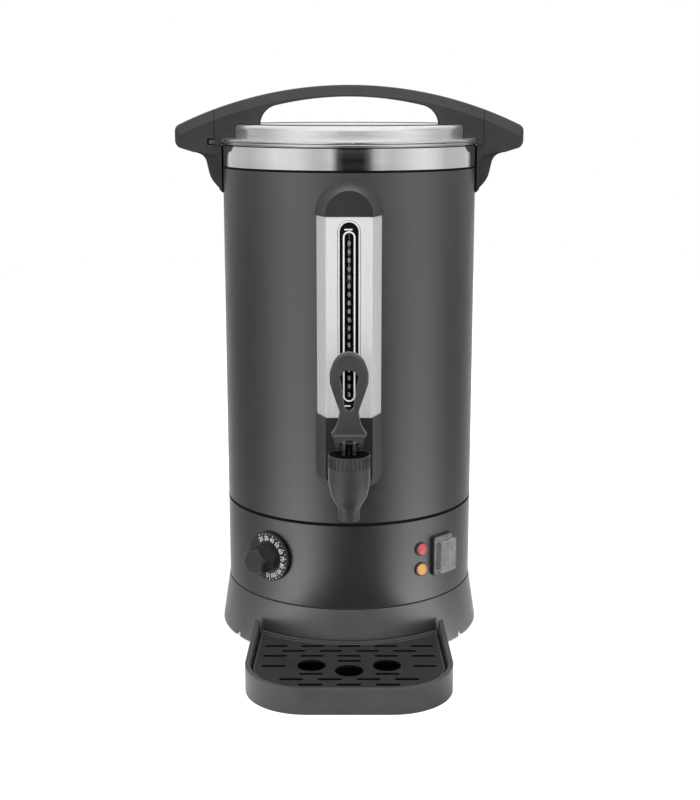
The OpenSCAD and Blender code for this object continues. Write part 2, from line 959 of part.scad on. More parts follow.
module gauge_cover() {
    slot_z = (z_cover + z_cover_top) / 2;
    slot_len = cover_h - 2 * slot_margin;
    face_y = front_y - cover_in;
    color(steel)
    difference() {
        union() {
            difference() {
                gauge_prism(z_cover, z_cover_top, cover_in);
                gauge_prism(z_cover - 1, z_cover_top + 1, cover_in + cover_t);
            }
            translate([0, -face_y + 0.2, slot_z])
                rotate([90, 90, 0])
                    linear_extrude(slot_rim_h + 0.2)
                        slot_outline(slot_len + 2 * slot_rim_w, slot_w + 2 * slot_rim_w);
        }
        shell_form();
        translate([0, -face_y + cover_t + 1, slot_z])
            rotate([90, 90, 0])
                linear_extrude(cover_t + 5)
                    slot_outline(slot_len, slot_w);
    }
}

module gauge_backplate() {
    face_y = front_y - cover_in - cover_t - seat_fit;
    mid_z = (z_cover + z_cover_top) / 2;
    rim_len = cover_h - 2 * slot_margin - 2 * window_margin;
    rim_wide = window_w + 2 * window_rim;
    color(black_plastic)
    difference() {
        union() {
            translate([-back_w / 2, -face_y, z_cover + 1])
                cube([back_w, back_t, cover_h - 2]);
            translate([0, -face_y + 0.2, mid_z])
                rotate([90, 90, 0])
                    linear_extrude(0.7)
                        slot_outline(rim_len, rim_wide);
        }
        translate([0, -face_y + back_t + 1, mid_z])
            rotate([90, 90, 0])
                linear_extrude(back_t + 3)
                    slot_outline(rim_len - 2 * window_rim, window_w);
    }
}

module sight_glass() {
    color([0.75, 0.85, 0.88, 0.4])
    translate([0, -glass_y, 0])
        ring(glass_r, glass_r - glass_t, glass_low, glass_top - glass_low);
}

module sight_glass_seals() {
    color(rubber_black)
    translate([0, -glass_y, 0]) {
        ring(seal_r, glass_r + seat_fit, glass_low - 2.8, seal_low_h);
        ring(seal_r, glass_r + seat_fit, z_cover_top, seal_top_h);
    }
}

module gauge_tee() {
    back = body_r + wrap_gap;
    front = front_y - housing_t - 0.3;
    socket_top = glass_low - 2.8 + seal_low_h;
    color(steel)
    difference() {
        union() {
            translate([-tee_w / 2, -front, tap_z - tee_w / 2])
                cube([tee_w, front - body_r + 5, tee_w]);
            intersection() {
                translate([0, -glass_y, tap_z])
                    cylinder(r = socket_r, h = socket_top - tap_z);
                translate([-tee_w, -front, tap_z])
                    cube([2 * tee_w, front, gauge_base_w]);
            }
        }
        shell_form();
        front_cylinder(shank_r + seat_fit, body_r - past, front_y + past, tap_z);
        translate([0, -glass_y, tap_z])
            cylinder(r = riser_r, h = gauge_base_w);
        translate([0, -glass_y, glass_low - 3])
            cylinder(r = seal_r + seat_fit, h = gauge_base_w);
    }
}

// The channel behind the tap, with two round corners at its lower end
module housing_form(high, inset = 0) {
    corner_z = tap_z - housing_drop;
    corner_x = gauge_w / 2 - housing_round;
    base_round = gauge_base_w / 2 - corner_x - 1.2 * inset;
    front_round = housing_round - 0.85 * inset;
    face_y = front_y - inset;
    gauge_prism(corner_z, high, inset);
    for (side = [-1, 1])
        translate([side * corner_x, -base_y, corner_z])
            rotate([90, 0, 0])
                cylinder(r1 = base_round, r2 = front_round, h = face_y - base_y);
    rotate([90, 0, 90])
        linear_extrude(2 * corner_x, center = true)
            polygon([
                [-face_y, corner_z], [-base_y, corner_z],
                [-base_y, corner_z - base_round], [-face_y, corner_z - front_round]
            ]);
}

module tap_housing() {
    color(black_plastic)
    difference() {
        housing_form(z_cover);
        housing_form(z_cover + 1, housing_t);
        shell_form();
        front_cylinder(shank_r + seat_fit, body_r, front_y + past, tap_z);
    }
}

// -------------------------------------------------------------------- tap

module tap_body() {
    side_r = bell_r - 0.1;
    ease_x = side_r - bell_round * (1 - cos(bell_ease));
    ease_z = bell_low - bell_round * sin(bell_ease);
    shoulder_z = bell_top - bonnet_h - seat_fit;
    neck_top = bell_top - bonnet_top_t - seat_fit;
    outside = concat(
        [[0, spout_z], [spout_r, spout_z]],
        arc(spout_r + throat_round, throat_low, throat_round, 180, 180 - waist_bend, 5),
        arc(ease_x - waist_round * cos(bell_ease), ease_z + waist_round * sin(bell_ease),
            waist_round, -waist_bend, -bell_ease, 3),
        arc(side_r - bell_round, bell_low, bell_round, -bell_ease, 0, 4),
        [[side_r, shoulder_z], [neck_r, shoulder_z], [neck_r, neck_top], [0, neck_top]]
    );
    color(black_plastic)
    difference() {
        union() {
            translate([0, -tap_y, 0])
                rotate_extrude() polygon(outside);
            difference() {
                front_cylinder(boss_out_r, front_y + seat_fit, tap_y - chamber_r, tap_z);
                translate([0, -tap_y, bell_top - bonnet_h - seat_fit])
                    cylinder(r = bell_r + move_gap, h = bonnet_h);
            }
            front_cylinder(collar_r, front_y + seat_fit, front_y + seat_fit + collar_t, tap_z);
            front_cylinder(shank_r, shank_end, front_y + 1, tap_z);
        }
        translate([0, -tap_y, seat_z])
            cylinder(r1 = plug_r + 1.2, r2 = chamber_r, h = 11);
        translate([0, -tap_y, seat_z + 11])
            cylinder(r = chamber_r, h = bell_top);
        translate([0, -tap_y, spout_z - 1])
            cylinder(r = spout_bore_r, h = seat_z - spout_z + 2);
        front_cylinder(shank_bore_r, shank_end - 1, tap_y - 5, tap_z);
        translate([0, -glass_y, tap_z])
            cylinder(r = riser_r, h = 2 * shank_r);
    }
}

module tap_bonnet() {
    low = bell_top - bonnet_h;
    color(black_plastic)
    translate([0, -tap_y, 0])
        difference() {
            union() {
                translate([0, 0, low])
                    cylinder(r = bell_r - rib_h, h = bonnet_h - 1);
                translate([0, 0, bell_top - 1])
                    cylinder(r = bell_r, h = 1);
                translate([0, 0, low])
                    linear_extrude(bonnet_h - 0.5)
                        for (i = [0:rib_count - 1])
                            rotate(i * 360 / rib_count)
                                translate([bell_r - rib_h - 1, -rib_w / 2])
                                    square([1 + rib_h, rib_w]);
            }
            translate([0, 0, low - 1])
                cylinder(r = neck_r + seat_fit, h = bonnet_h - bonnet_top_t + 1);
            cylinder(r = stem_r + run_fit, h = 2 * bell_top);
        }
}

// Outline of the lever's foot from the side, about the pin. Its low face
// rolls on the bonnet so that the pin rises evenly as the lever tips
function cam_side(low) = concat(
    [for (a = [0:9:90]) [-(low + cam_rise * a * PI / 180) * sin(a) - cam_rise * cos(a),
                         -(low + cam_rise * a * PI / 180) * cos(a) + cam_rise * sin(a)]],
    [[-cam_low - stem_lift + 2, 6], [-6, 9], [6, 9], [9, 4], [9, -low + 4], [6, -low]]
);

// Foot of the lever between x = from and x = to, on both sides
module cam_cheeks(low, from, to) {
    for (side = [0, 1])
        mirror([side, 0, 0])
            translate([from, 0, 0])
                rotate([90, 0, 90])
                    linear_extrude(to - from)
                        polygon(cam_side(low));
}

// Front view of the lever above its foot: egg-shaped loop, neck and flare
module lever_outline(inset = 0) {
    loop_r = loop_w / 2;
    flare_x = neck_w / 2 + flare_round;
    flare_bend = acos((flare_x - ear_x) / flare_round);
    hull() {
        translate([0, lever_h - loop_r - 4])
            circle(r = loop_r - inset, $fn = 40);
        translate([0, lever_h - loop_r + 2])
            circle(r = loop_r - 2 - inset, $fn = 40);
        translate([0, neck_up + 6])
            circle(r = neck_w / 2 - inset, $fn = 32);
    }
    polygon(concat(
        [[-cheek_out + inset, foot_z], [cheek_out - inset, foot_z]],
        arc(flare_x - inset, neck_up, flare_round, 180 + flare_bend, 180, 6),
        arc(inset - flare_x, neck_up, flare_round, 0, -flare_bend, 6)
    ));
}

module tap_lever() {
    color(black_plastic)
    translate([0, -tap_y, pin_z])
        difference() {
            union() {
                cam_cheeks(cam_low, cheek_in, cheek_in + cam_leg_t);
                intersection() {
                    cam_cheeks(cam_low - cheek_up, cheek_out - cheek_t, cheek_out);
                    front_extrude(4 * loop_t)
                        polygon([
                            [-cheek_out, 2 * foot_z], [cheek_out, 2 * foot_z], [cheek_out, foot_z],
                            [cheek_out - cheek_lean, -cam_low], [cheek_lean - cheek_out, -cam_low],
                            [-cheek_out, foot_z]
                        ]);
                }
                difference() {
                    hull() {
                        front_extrude(loop_t) lever_outline(2.2);
                        front_extrude(loop_t - 4.4) lever_outline();
                    }
                    front_extrude(3 * loop_t)
                        difference() {
                            translate([-loop_w, 0])
                                square([2 * loop_w, lever_h + 5]);
                            lever_outline(-1);
                        }
                }
                translate([-cheek_out, -bridge_y, 3])
                    cube([2 * cheek_out, bridge_y + 6, 6]);
            }
            front_extrude(3 * loop_t)
                hull() {
                    translate([0, hole_high])
                        circle(r = 8.3, $fn = 32);
                    translate([0, hole_low])
                        circle(r = 4.2, $fn = 32);
                }
            translate([-loop_w, 0, 0])
                rotate([0, 90, 0])
                    cylinder(r = pin_r + run_fit, h = 2 * loop_w);
            translate([-cheek_in, -loop_w / 2, -loop_w])
                cube([2 * cheek_in, loop_w, loop_w + eye_r + 0.6]);
        }
}

module tap_pivot_pin() {
    color(steel)
    translate([-pin_len / 2, -tap_y, pin_z])
        rotate([0, 90, 0])
            cylinder(r = pin_r, h = pin_len);
}

module tap_stem() {
    foot = seat_z + 1 + plug_h;
    color(steel)
    translate([0, -tap_y, 0])
        difference() {
            union() {
                translate([0, 0, foot - 6])
                    cylinder(r = stem_r, h = pin_z - foot + 6);
                translate([0, 0, foot])
                    cylinder(r = stem_flange_r, h = stem_flange_t);
                translate([-eye_w / 2, 0, pin_z])
                    rotate([0, 90, 0])
                        cylinder(r = eye_r, h = eye_w);
            }
            translate([-loop_w, 0, pin_z])
                rotate([0, 90, 0])
                    cylinder(r = pin_r + 0.02, h = 2 * loop_w);
        }
}

// Rings of points round the spring's wire, for a swept tube
function spring_ring(i, low, high) =
    let (n = spring_turns * spring_steps,
         a = 360 * i / spring_steps,
         z = low + (high - low) * i / n)
    [for (k = [0:spring_sides - 1])
        let (b = 360 * k / spring_sides, r = spring_r + spring_wire * cos(b))
        [r * cos(a), r * sin(a), z + spring_wire * sin(b)]];

module tap_spring() {
    low = seat_z + 1 + plug_h + stem_flange_t + spring_wire + 0.2;
    high = bell_top - bonnet_top_t - spring_wire - 0.2;
    n = spring_turns * spring_steps;
    m = spring_sides;
    points = [for (i = [0:n]) each spring_ring(i, low, high)];
    faces = concat(
        [[for (k = [0:m - 1]) k]],
        [for (i = [0:n - 1], k = [0:m - 1])
            [i * m + k, (i + 1) * m + k, (i + 1) * m + (k + 1) % m, i * m + (k + 1) % m]],
        [[for (k = [m - 1:-1:0]) n * m + k]]
    );
    color(steel)
    translate([0, -tap_y, 0])
        polyhedron(points, faces, convexity = 8);
}

module tap_seat_plug() {
    low = seat_z + 0.25;
    side = [
        [0, low - 2.2], [spout_bore_r - 1.6, low - 2.2], [spout_bore_r - 0.4, low],
        [plug_r, low], [plug_r, low + 5], [plug_r - 2.6, low + plug_h + 0.5],
        [0, low + plug_h + 0.5]
    ];
    color([0.85, 0.85, 0.82])
    translate([0, -tap_y, 0])
        difference() {
            rotate_extrude() polygon(side);
            translate([0, 0, seat_z + 1 + plug_h - 6.2])
                cylinder(r = stem_r + 0.02, h = 20);
        }
}

module tap_shank_nut() {
    out_y = pot_in_r - 0.9 - washer_t;
    color(steel)
    difference() {
        translate([0, -out_y + nut_t, tap_z])
            rotate([90, 0, 0])
                cylinder(r = nut_r, h = nut_t, $fn = 6);
        front_cylinder(shank_r + seat_fit, out_y - 2 * nut_t, out_y + 5, tap_z);
    }
}

module tap_washers() {
    inside_y = pot_in_r - 0.8;
    color([0.8, 0.35, 0.25])
    difference() {
        union() {
            front_cylinder(washer_r, inside_y - washer_t, inside_y, tap_z);
            front_cylinder(washer_r, pot_r + 0.1, pot_r + 0.1 + washer_t, tap_z);
        }
        front_cylinder(shank_r + seat_fit, shank_end, body_r, tap_z);
    }
}

module tap_spacer() {
    color(steel)
    difference() {
        front_cylinder(shank_r + 3, pot_r + 0.2 + washer_t, shell_in_r - 0.6, tap_z);
        front_cylinder(shank_r + seat_fit, shank_end, body_r, tap_z);
    }
}

// --------------------------------------------------------------- controls

module thermostat_knob() {
    low = dial_gap + dial_t + seat_fit;
    color(black_plastic)
    on_wall(-dial_az, z_dial)
        difference() {
            union() {
                intersection() {
                    translate([0, 0, low])
                        rotate(knob_rest)
                            cylinder(r = knob_r, h = knob_out - low, $fn = 6);
                    translate([0, 0, low])
                        cylinder(r1 = knob_r + knob_out - low + knob_face_r - knob_r,
                                 r2 = knob_face_r, h = knob_out - low);
                }
                translate([0, 0, dial_gap])
                    cylinder(r = hub_r, h = dial_t + 1);
            }
            translate([0, 0, -1])
                cylinder(r = shaft_r + seat_fit, h = knob_out - 4);
        }
}

module dial_ring() {
    color(black_plastic)
    on_wall(-dial_az, z_dial)
        difference() {
            union() {
                translate([0, 0, dial_gap])
                    cylinder(r = dial_r, h = dial_t - 0.8);
                translate([0, 0, dial_gap + dial_t - 0.8])
                    cylinder(r1 = dial_r, r2 = dial_r - 0.8, h = 0.8);
            }
            cylinder(r = hub_r + seat_fit, h = 10);
        }
}

module thermostat_shaft() {
    color(steel)
    on_wall(-dial_az, z_dial)
        translate([0, 0, -12])
            cylinder(r = shaft_r, h = knob_out + 12 - 6);
}

module thermostat_body() {
    wall_in = shell_in_r - body_r - 0.8;
    color([0.75, 0.75, 0.72])
    on_wall(-dial_az, z_dial)
        difference() {
            union() {
                translate([0, 0, wall_in - 4 - thermo_len])
                    cylinder(r = thermo_r, h = thermo_len);
                translate([0, 0, wall_in - 4.5])
                    cylinder(r = thermo_neck_r, h = 4.5);
                translate([0, 0, wall_in - 1])
                    cylinder(r = bush_r, h = bush_out + 1 - wall_in);
            }
            translate([0, 0, -12.5])
                cylinder(r = shaft_r + run_fit, h = 30);
        }
}

module thermostat_bulb() {
    wall_in = shell_in_r - body_r - 0.8;
    out = -(wall_in - 4 - thermo_len / 2);
    at_r = body_r - out;
    bulb_z = z_pot - heater_t - bulb_r - 0.2;
    start = z_dial + thermo_r + 0.05;
    color([0.72, 0.45, 0.3])
    rotate([0, 0, -dial_az]) {
        translate([0, -at_r, start])
            cylinder(r = capillary_r, h = bulb_z - capillary_bend - start, $fn = 32);
        translate([0, -at_r + capillary_bend, bulb_z - capillary_bend])
            rotate([90, 0, -90])
                rotate_extrude(angle = 90, $fn = 48)
                    translate([capillary_bend, 0])
                        circle(r = capillary_r, $fn = 24);
        translate([0, -at_r + capillary_bend + bulb_len, bulb_z])
            rotate([90, 0, 0])
                cylinder(r = bulb_r, h = bulb_len, $fn = 48);
    }
}

// Puts children at each pilot lamp: 1 is the upper one, -1 the lower
module at_lamp(side) {
    on_wall(lamp_az, z_lamps + side * lamp_pitch / 2)
        children();
}

module lamp_holders() {
    color(rubber_black)
    for (side = [-1, 1])
        at_lamp(side)
            difference() {
                union() {
                    translate([0, 0, -lamp_body_len])
                        cylinder(r = lamp_tube_r + 1.5, h = lamp_body_len - shell_t - 0.4);
                    translate([0, 0, -4])
                        cylinder(r = lamp_tube_r, h = 5);
                    translate([0, 0, 0.1])
                        cylinder(r = lamp_ring_r, h = 1.1);
                }
                translate([0, 0, -8])
                    cylinder(r = lamp_r - 0.9, h = 20);
            }
}

module lamp_lens() {
    dome_h = 2.2;
    dome_r = (pow(lamp_r, 2) + pow(dome_h, 2)) / (2 * dome_h);
    translate([0, 0, -5])
        cylinder(r = lamp_r - 1, h = 6.3);
    translate([0, 0, 1.25]) {
        cylinder(r = lamp_r, h = 0.6);
        intersection() {
            cylinder(r = lamp_r, h = dome_h + 2);
            translate([0, 0, dome_h + 0.6 - dome_r])
                sphere(r = dome_r);
        }
    }
}

module lamp_lens_red() {
    color([0.8, 0.12, 0.15]) at_lamp(1) lamp_lens();
}

module lamp_lens_amber() {
    color([0.95, 0.6, 0.1]) at_lamp(-1) lamp_lens();
}

// The flange's back is hollowed to sit on the round wall
module switch_frame() {
    color(rubber_black)
    on_wall(switch_az, z_switch)
        difference() {
            union() {
                difference() {
                    translate([0, 0, -flange_sag])
                        linear_extrude(flange_t + flange_sag)
                            soft_rectangle(switch_w, switch_h, 3, $fn = 32);
                    translate([0, switch_h, -body_r])
                        rotate([90, 0, 0])
                            cylinder(r = body_r + seat_fit, h = 2 * switch_h);
                }
                translate([0, 0, (1 - switch_deep) / 2])
                    cube([switch_hole_w - 2 * seat_fit, switch_hole_h - 2 * seat_fit,
                          switch_deep + 1], center = true);
            }
            translate([0, 0, flange_t])
                cube([well_w, well_h, 2 * well_deep], center = true);
            translate([-switch_pin_len / 2, 0, rocker_axis])
                rotate([0, 90, 0])
                    cylinder(r = switch_pin_r + 0.02, h = switch_pin_len, $fn = 32);
        }
}

module switch_pin() {
    color(steel)
    on_wall(switch_az, z_switch)
        translate([-switch_pin_len / 2, 0, rocker_axis])
            rotate([0, 90, 0])
                cylinder(r = switch_pin_r, h = switch_pin_len, $fn = 32);
}

module switch_rocker() {
    half = well_h / 2 - 0.6;
    crown = 5.5;
    fall = tan(rocker_tilt) * half;
    color([0.12, 0.12, 0.12])
    on_wall(switch_az, z_switch)
        translate([0, 0, rocker_axis])
            rotate([rocker_tilt, 0, 0])
                difference() {
                    rotate([90, 0, 90])
                        linear_extrude(well_w - 2 * move_gap, center = true)
                            polygon([
                                [-half + 1, -2], [0, -4.5], [half - 1, -2],
                                [half - 1.2, crown - 1 + fall], [0, crown],
                                [-half + 1.2, crown - 1 + fall]
                            ]);
                    rotate([0, 90, 0])
                        cylinder(r = switch_pin_r + run_fit, h = 2 * well_w, center = true, $fn = 32);
                }
}

module switch_boot() {
    base = flange_t + seat_fit;
    color([0.8, 0.82, 0.84, 0.4])
    on_wall(switch_az, z_switch)
        difference() {
            union() {
                translate([0, 0, base])
                    linear_extrude(1)
                        soft_rectangle(switch_w - 2, switch_h - 2, 2.5, $fn = 32);
                translate([0, 0, base])
                    linear_extrude(boot_out - base)
                        soft_rectangle(boot_w, boot_h, 2.5, $fn = 32);
            }
            translate([0, 0, base - 1])
                linear_extrude(boot_out - base + 1 - boot_t)
                    soft_rectangle(boot_w - 2 * boot_t, boot_h - 2 * boot_t, 1.5, $fn = 32);
        }
}

module cord_gland() {
    color(rubber_black)
    on_wall(180, gland_z)
        difference() {
            union() {
                translate([0, 0, -gland_in])
                    cylinder(r = gland_r, h = gland_in + 1);
                translate([0, 0, 0.3])
                    cylinder(r = gland_r + 2.5, h = 2);
                translate([0, 0, 2.2])
                    cylinder(r1 = gland_r + 0.5, r2 = gland_r - 2, h = gland_out - 2.2);
            }
            translate([0, 0, -gland_in - 1])
                cylinder(r = cord_r, h = gland_in + gland_out + 2);
        }
}

// ----------------------------------------------------------------- heater

module heater_plate() {
    color([0.7, 0.7, 0.72])
    translate([0, 0, z_pot - heater_t])
        cylinder(r = heater_r, h = heater_t);
}

module heating_element() {
    z = z_pot - heater_t - coil_r - 0.1;
    leg = z - shield_z + 12;
    color([0.45, 0.45, 0.47])
    for (end = [0, 1])
        rotate([0, 0, end * coil_angle + 110])
            translate([coil_at_r, 0, z - leg])
                cylinder(r = coil_r - 1, h = leg, $fn = 48);
    color([0.45, 0.45, 0.47])
    rotate([0, 0, 110])
        translate([0, 0, z])
            rotate_extrude(angle = coil_angle)
                translate([coil_at_r, 0])
                    circle(r = coil_r, $fn = 48);
}

module thermal_cutout() {
    top = z_pot - heater_t - 0.1;
    color(rubber_black)
    translate([0, 0, top - cutout_h]) {
        cylinder(r = cutout_r, h = cutout_h);
        translate([-cutout_r - 5, -4, cutout_h - 1])
            cube([2 * cutout_r + 10, 8, 1]);
    }
}

module heat_shield() {
    color(steel)
    difference() {
        translate([0, 0, shield_z])
            cylinder(r = spigot_r - spigot_t - 0.2, h = shield_t);
        for (end = [0, 1])
            rotate([0, 0, end * coil_angle + 110])
                translate([coil_at_r, 0, shield_z - 1])
                    cylinder(r = coil_r, h = shield_t + 2);
        rotate([0, 0, -dial_az])
            translate([0, -body_r + 20, shield_z - 1])
                cylinder(r = 6, h = shield_t + 2);
    }
}

module terminal_block() {
    color([0.9, 0.9, 0.86])
    translate([-terminal_size[0] / 2, 30, plate_z + plate_t + seat_fit])
        difference() {
            cube(terminal_size);
            for (i = [0:2])
                translate([9 + 12 * i, terminal_size[1] / 2, 6])
                    cylinder(r = 3, h = 20, $fn = 32);
        }
}

// -------------------------------------------------------------- drip tray

// Plan view of the tray, inset from its outer edge
module tray_plan(inset) {
    difference() {
        union() {
            polygon([
                [-tray_half_back + inset, -tray_back_y], [-tray_half_w + inset, -tray_corner_y],
                [tray_half_w - inset, -tray_corner_y], [tray_half_back - inset, -tray_back_y]
            ]);
            for (side = [-1, 1])
                translate([side * (tray_half_w - tray_corner), -tray_corner_y])
                    circle(r = tray_corner - inset);
            translate([-tray_half_w + tray_corner, -tray_front + inset])
                square([2 * (tray_half_w - tray_corner), tray_corner]);
        }
        circle(r = tray_back_r + inset);
    }
}

module drip_tray() {
    rise_angle = atan(tray_rise / (tray_front - body_r));
    color(black_plastic)
    difference() {
        union() {
            linear_extrude(tray_h + tray_rise + 3) tray_plan(0);
            translate([-tongue_w / 2, -skirt_low_r - 8, tongue_z])
                cube([tongue_w, 8 + tongue_len, tongue_t]);
        }
        translate([0, 0, grille_z])
            linear_extrude(tray_h + tray_rise) tray_plan(rim_w);
        translate([0, 0, tray_floor])
            linear_extrude(tray_h + tray_rise) tray_plan(rim_w + ledge_w);
        translate([0, 0, grille_z + 0.2 + grille_t])
            linear_extrude(tray_h + tray_rise)
                intersection() {
                    circle(r = tray_back_r + 2 * rim_w);
                    translate([0, -tray_back_r])
                        square([2 * (tray_half_back - rim_w), 2 * tray_back_r], center = true);
                }
        translate([-2 * tray_half_w, -tray_front, tray_h])
            rotate([rise_angle, 0, 0])
                translate([0, -50, 0])
                    cube([4 * tray_half_w, 2 * tray_front, 50]);
    }
}

// Places children at each slot of the grille, row by row
module at_slots() {
    for (row = [0:row_count - 1]) {
        y = row_y + slot_pitch_y * (row < 5 ? row : row + 0.5);
        odd = row == 1 || row == 3 + 3;
        count = odd ? 4 : 5;
        for (i = [0:count - 1]) {
            x = (i - (count - 1) / 2) * slot_pitch_x;
            keep = row < 3 || row == 6
                || (row == 3 && i == 2)
                || (row == 4 && (i == 0 || i == 4))
                || (row == 5 && (i == 1 || i == 3))
                || (row == 7 && i > 0 && i < 4);
            if (keep)
                translate([x, -y, 0])
                    children();
        }
    }
}

module drip_grille() {
    side_hole_y = row_y + slot_pitch_y * 3.9;
    color(black_plastic)
    translate([0, 0, grille_z + 0.2])
        linear_extrude(grille_t)
            difference() {
                tray_plan(rim_w + grille_gap);
                at_slots() slot_outline(grille_slot, grille_slot_w, $fn = 24);
                for (side = [-1, 1])
                    translate([side * slot_pitch_x, -side_hole_y])
                        circle(r = cup_hole_r);
                translate([0, -side_hole_y - slot_pitch_y])
                    circle(r = cup_hole_r);
            }
}

// ------------------------------------------------------------------ nodes

base_skirt();
base_plate();
base_screws();
rubber_feet();
lower_housing();
outer_shell();
rim_collar();
inner_pot();
side_handle_left();
side_handle_right();
handle_screws();
lid_pan();
lid_gasket();
lid_handle();
lid_screws();
gauge_cap();
gauge_cover();
gauge_backplate();
sight_glass();
sight_glass_seals();
gauge_tee();
tap_housing();
tap_body();
tap_bonnet();
tap_lever();
tap_pivot_pin();
tap_stem();
tap_spring();
tap_seat_plug();
tap_shank_nut();
tap_washers();
tap_spacer();
thermostat_knob();
dial_ring();
thermostat_shaft();
thermostat_body();
thermostat_bulb();
lamp_holders();
lamp_lens_red();
lamp_lens_amber();
switch_frame();
switch_pin();
switch_rocker();
switch_boot();
cord_gland();
heater_plate();
heating_element();
thermal_cutout();
heat_shield();
terminal_block();
drip_tray();
drip_grille();
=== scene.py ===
# %% [markdown]
# # A hot water urn
#
# This lesson dresses a catering urn: a tall double-walled body with a steel collar and lid,
# three moulded handles, a sight gauge, a tap with a loop lever, a few controls and a drip tray.
# The construction is already made and comes in as a fixed frame of separate parts. Blender adds
# the finishes, the softened edges, the small fittings, the light and the camera. Everything is
# in metres, +Z is up and -Y points from the body towards the tap.

# %% Load the frame
import json
import math

import bmesh
import bpy
from mathutils import Matrix, Vector


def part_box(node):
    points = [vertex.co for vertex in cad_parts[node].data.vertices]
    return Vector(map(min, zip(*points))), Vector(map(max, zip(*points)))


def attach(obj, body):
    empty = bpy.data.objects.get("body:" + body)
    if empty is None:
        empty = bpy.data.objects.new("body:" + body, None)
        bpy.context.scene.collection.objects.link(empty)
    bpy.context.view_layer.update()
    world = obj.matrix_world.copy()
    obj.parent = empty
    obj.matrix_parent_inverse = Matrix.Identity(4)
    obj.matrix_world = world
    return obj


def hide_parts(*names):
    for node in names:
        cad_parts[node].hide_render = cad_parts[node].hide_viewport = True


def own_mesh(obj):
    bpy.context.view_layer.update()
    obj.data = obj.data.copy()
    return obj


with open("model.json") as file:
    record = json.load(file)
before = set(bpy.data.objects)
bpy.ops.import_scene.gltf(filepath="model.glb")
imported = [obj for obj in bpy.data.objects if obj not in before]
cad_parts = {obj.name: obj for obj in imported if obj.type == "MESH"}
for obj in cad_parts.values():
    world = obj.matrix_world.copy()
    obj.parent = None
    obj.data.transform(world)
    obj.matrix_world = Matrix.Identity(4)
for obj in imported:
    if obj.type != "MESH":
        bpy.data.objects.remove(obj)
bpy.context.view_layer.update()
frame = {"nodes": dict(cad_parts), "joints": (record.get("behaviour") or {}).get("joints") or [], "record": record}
nodes = frame["nodes"]

# %% [markdown]
# ## Sizes that the pieces share
#
# Each place below is read from a part's own box, so the dressing follows the construction when
# a size changes. Only widths of lines, small radii and the camera are typed.

# %% Places read from the parts
def low(name):
    """The lowest corner of a part's box."""
    return Vector(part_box(name)[0])


def high(name):
    """The highest corner of a part's box."""
    return Vector(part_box(name)[1])


MM = 0.001
BODY_R = high("outer_shell").x
Z_LOWER = low("lower_housing").z
Z_SHELL = low("outer_shell").z
Z_COLLAR = high("outer_shell").z
Z_RIM = high("rim_collar").z
Z_TOP = high("lid_pan").z
print("body radius", round(BODY_R, 4), "shell from", round(Z_SHELL, 4), "to", round(Z_COLLAR, 4))

# %% [markdown]
# ## Camera
#
# The urn is seen from the front and a little from above, as a person sees it on a counter. A
# real camera at 1.4 m with a lens of about 62 mm gives the same slight perspective, so the
# circles of the base open a little more than those of the lid.

# %% Camera
CAMERA_AT = (0.0008, -1.3985, 0.532)
CAMERA_PITCH = 77.84
LENS = 62.46


def add_object(name, data):
    """A new object in the scene."""
    made = bpy.data.objects.new(name, data)
    bpy.context.scene.collection.objects.link(made)
    return made


def add_camera():
    data = bpy.data.cameras.new("camera")
    data.sensor_width = 36
    data.lens = LENS
    camera = add_object("camera", data)
    camera.location = CAMERA_AT
    camera.rotation_euler = (math.radians(CAMERA_PITCH), 0, 0)
    bpy.context.scene.camera = camera
    return camera


camera = add_camera()
print("camera at", tuple(round(v, 3) for v in camera.location))

# %% [markdown]
# ## Node helpers
#
# Every finish is a small net of nodes. A few helpers keep such a net readable: they add a node
# with its values set, feed a socket with a number or with another node, take a place apart into
# its axes, and start a material with its Principled shader in place.

# %% Helpers for shader nodes
def feed(tree, value, socket):
    """Sets an input socket to a plain value, or links an output socket to it."""
    if isinstance(value, bpy.types.NodeSocket):
        tree.links.new(value, socket)
    else:
        socket.default_value = value


def add_node(tree, kind, **values):
    """Adds a node. A name of a property sets it, any other name feeds that input socket."""
    node = tree.nodes.new(kind)
    for name, value in values.items():
        if name in node.bl_rna.properties:
            setattr(node, name, value)
        else:
            feed(tree, value, node.inputs[name.replace("_", " ")])
    return node


def math_node(tree, operation, a, b=0.0):
    """A Math node on two values, each a number or an output socket."""
    node = add_node(tree, "ShaderNodeMath", operation=operation)
    feed(tree, a, node.inputs[0])
    feed(tree, b, node.inputs[1])
    return node.outputs[0]


def map_range(tree, value, start, end, near=0.0, far=1.0):
    """Maps the range from start to end to the range from near to far."""
    ends = {"From_Min": start, "From_Max": end, "To_Min": near, "To_Max": far}
    return add_node(tree, "ShaderNodeMapRange", Value=value, **ends).outputs[0]


def colour_of(value):
    """Four numbers for a colour, from a grey level, a grey level and its blue, or all three."""
    if isinstance(value, bpy.types.NodeSocket):
        return value
    levels = (value,) if isinstance(value, (int, float)) else value
    return (*levels, 1) if len(levels) == 3 else (levels[0], levels[0], levels[-1], 1)


def mixed(tree, share, first, second):
    """A mix of two colours, each given as for colour_of."""
    mix = add_node(tree, "ShaderNodeMix", data_type="RGBA")
    feed(tree, share, mix.inputs[0])
    feed(tree, colour_of(first), mix.inputs[6])
    feed(tree, colour_of(second), mix.inputs[7])
    return mix.outputs[2]


def object_place(tree):
    return tree.nodes.new("ShaderNodeTexCoord").outputs["Object"]


def axes_of(tree, place):
    """The x, y and z of a place or a direction."""
    return add_node(tree, "ShaderNodeSeparateXYZ", Vector=place).outputs


def new_material(name, **values):
    """A material whose Principled shader has the plain values set on its own sockets."""
    material = bpy.data.materials.new(name)
    material.use_nodes = True
    shader = material.node_tree.nodes["Principled BSDF"]
    for socket, value in values.items():
        shader.inputs[socket.replace("_", " ")].default_value = value
    return material, material.node_tree, shader


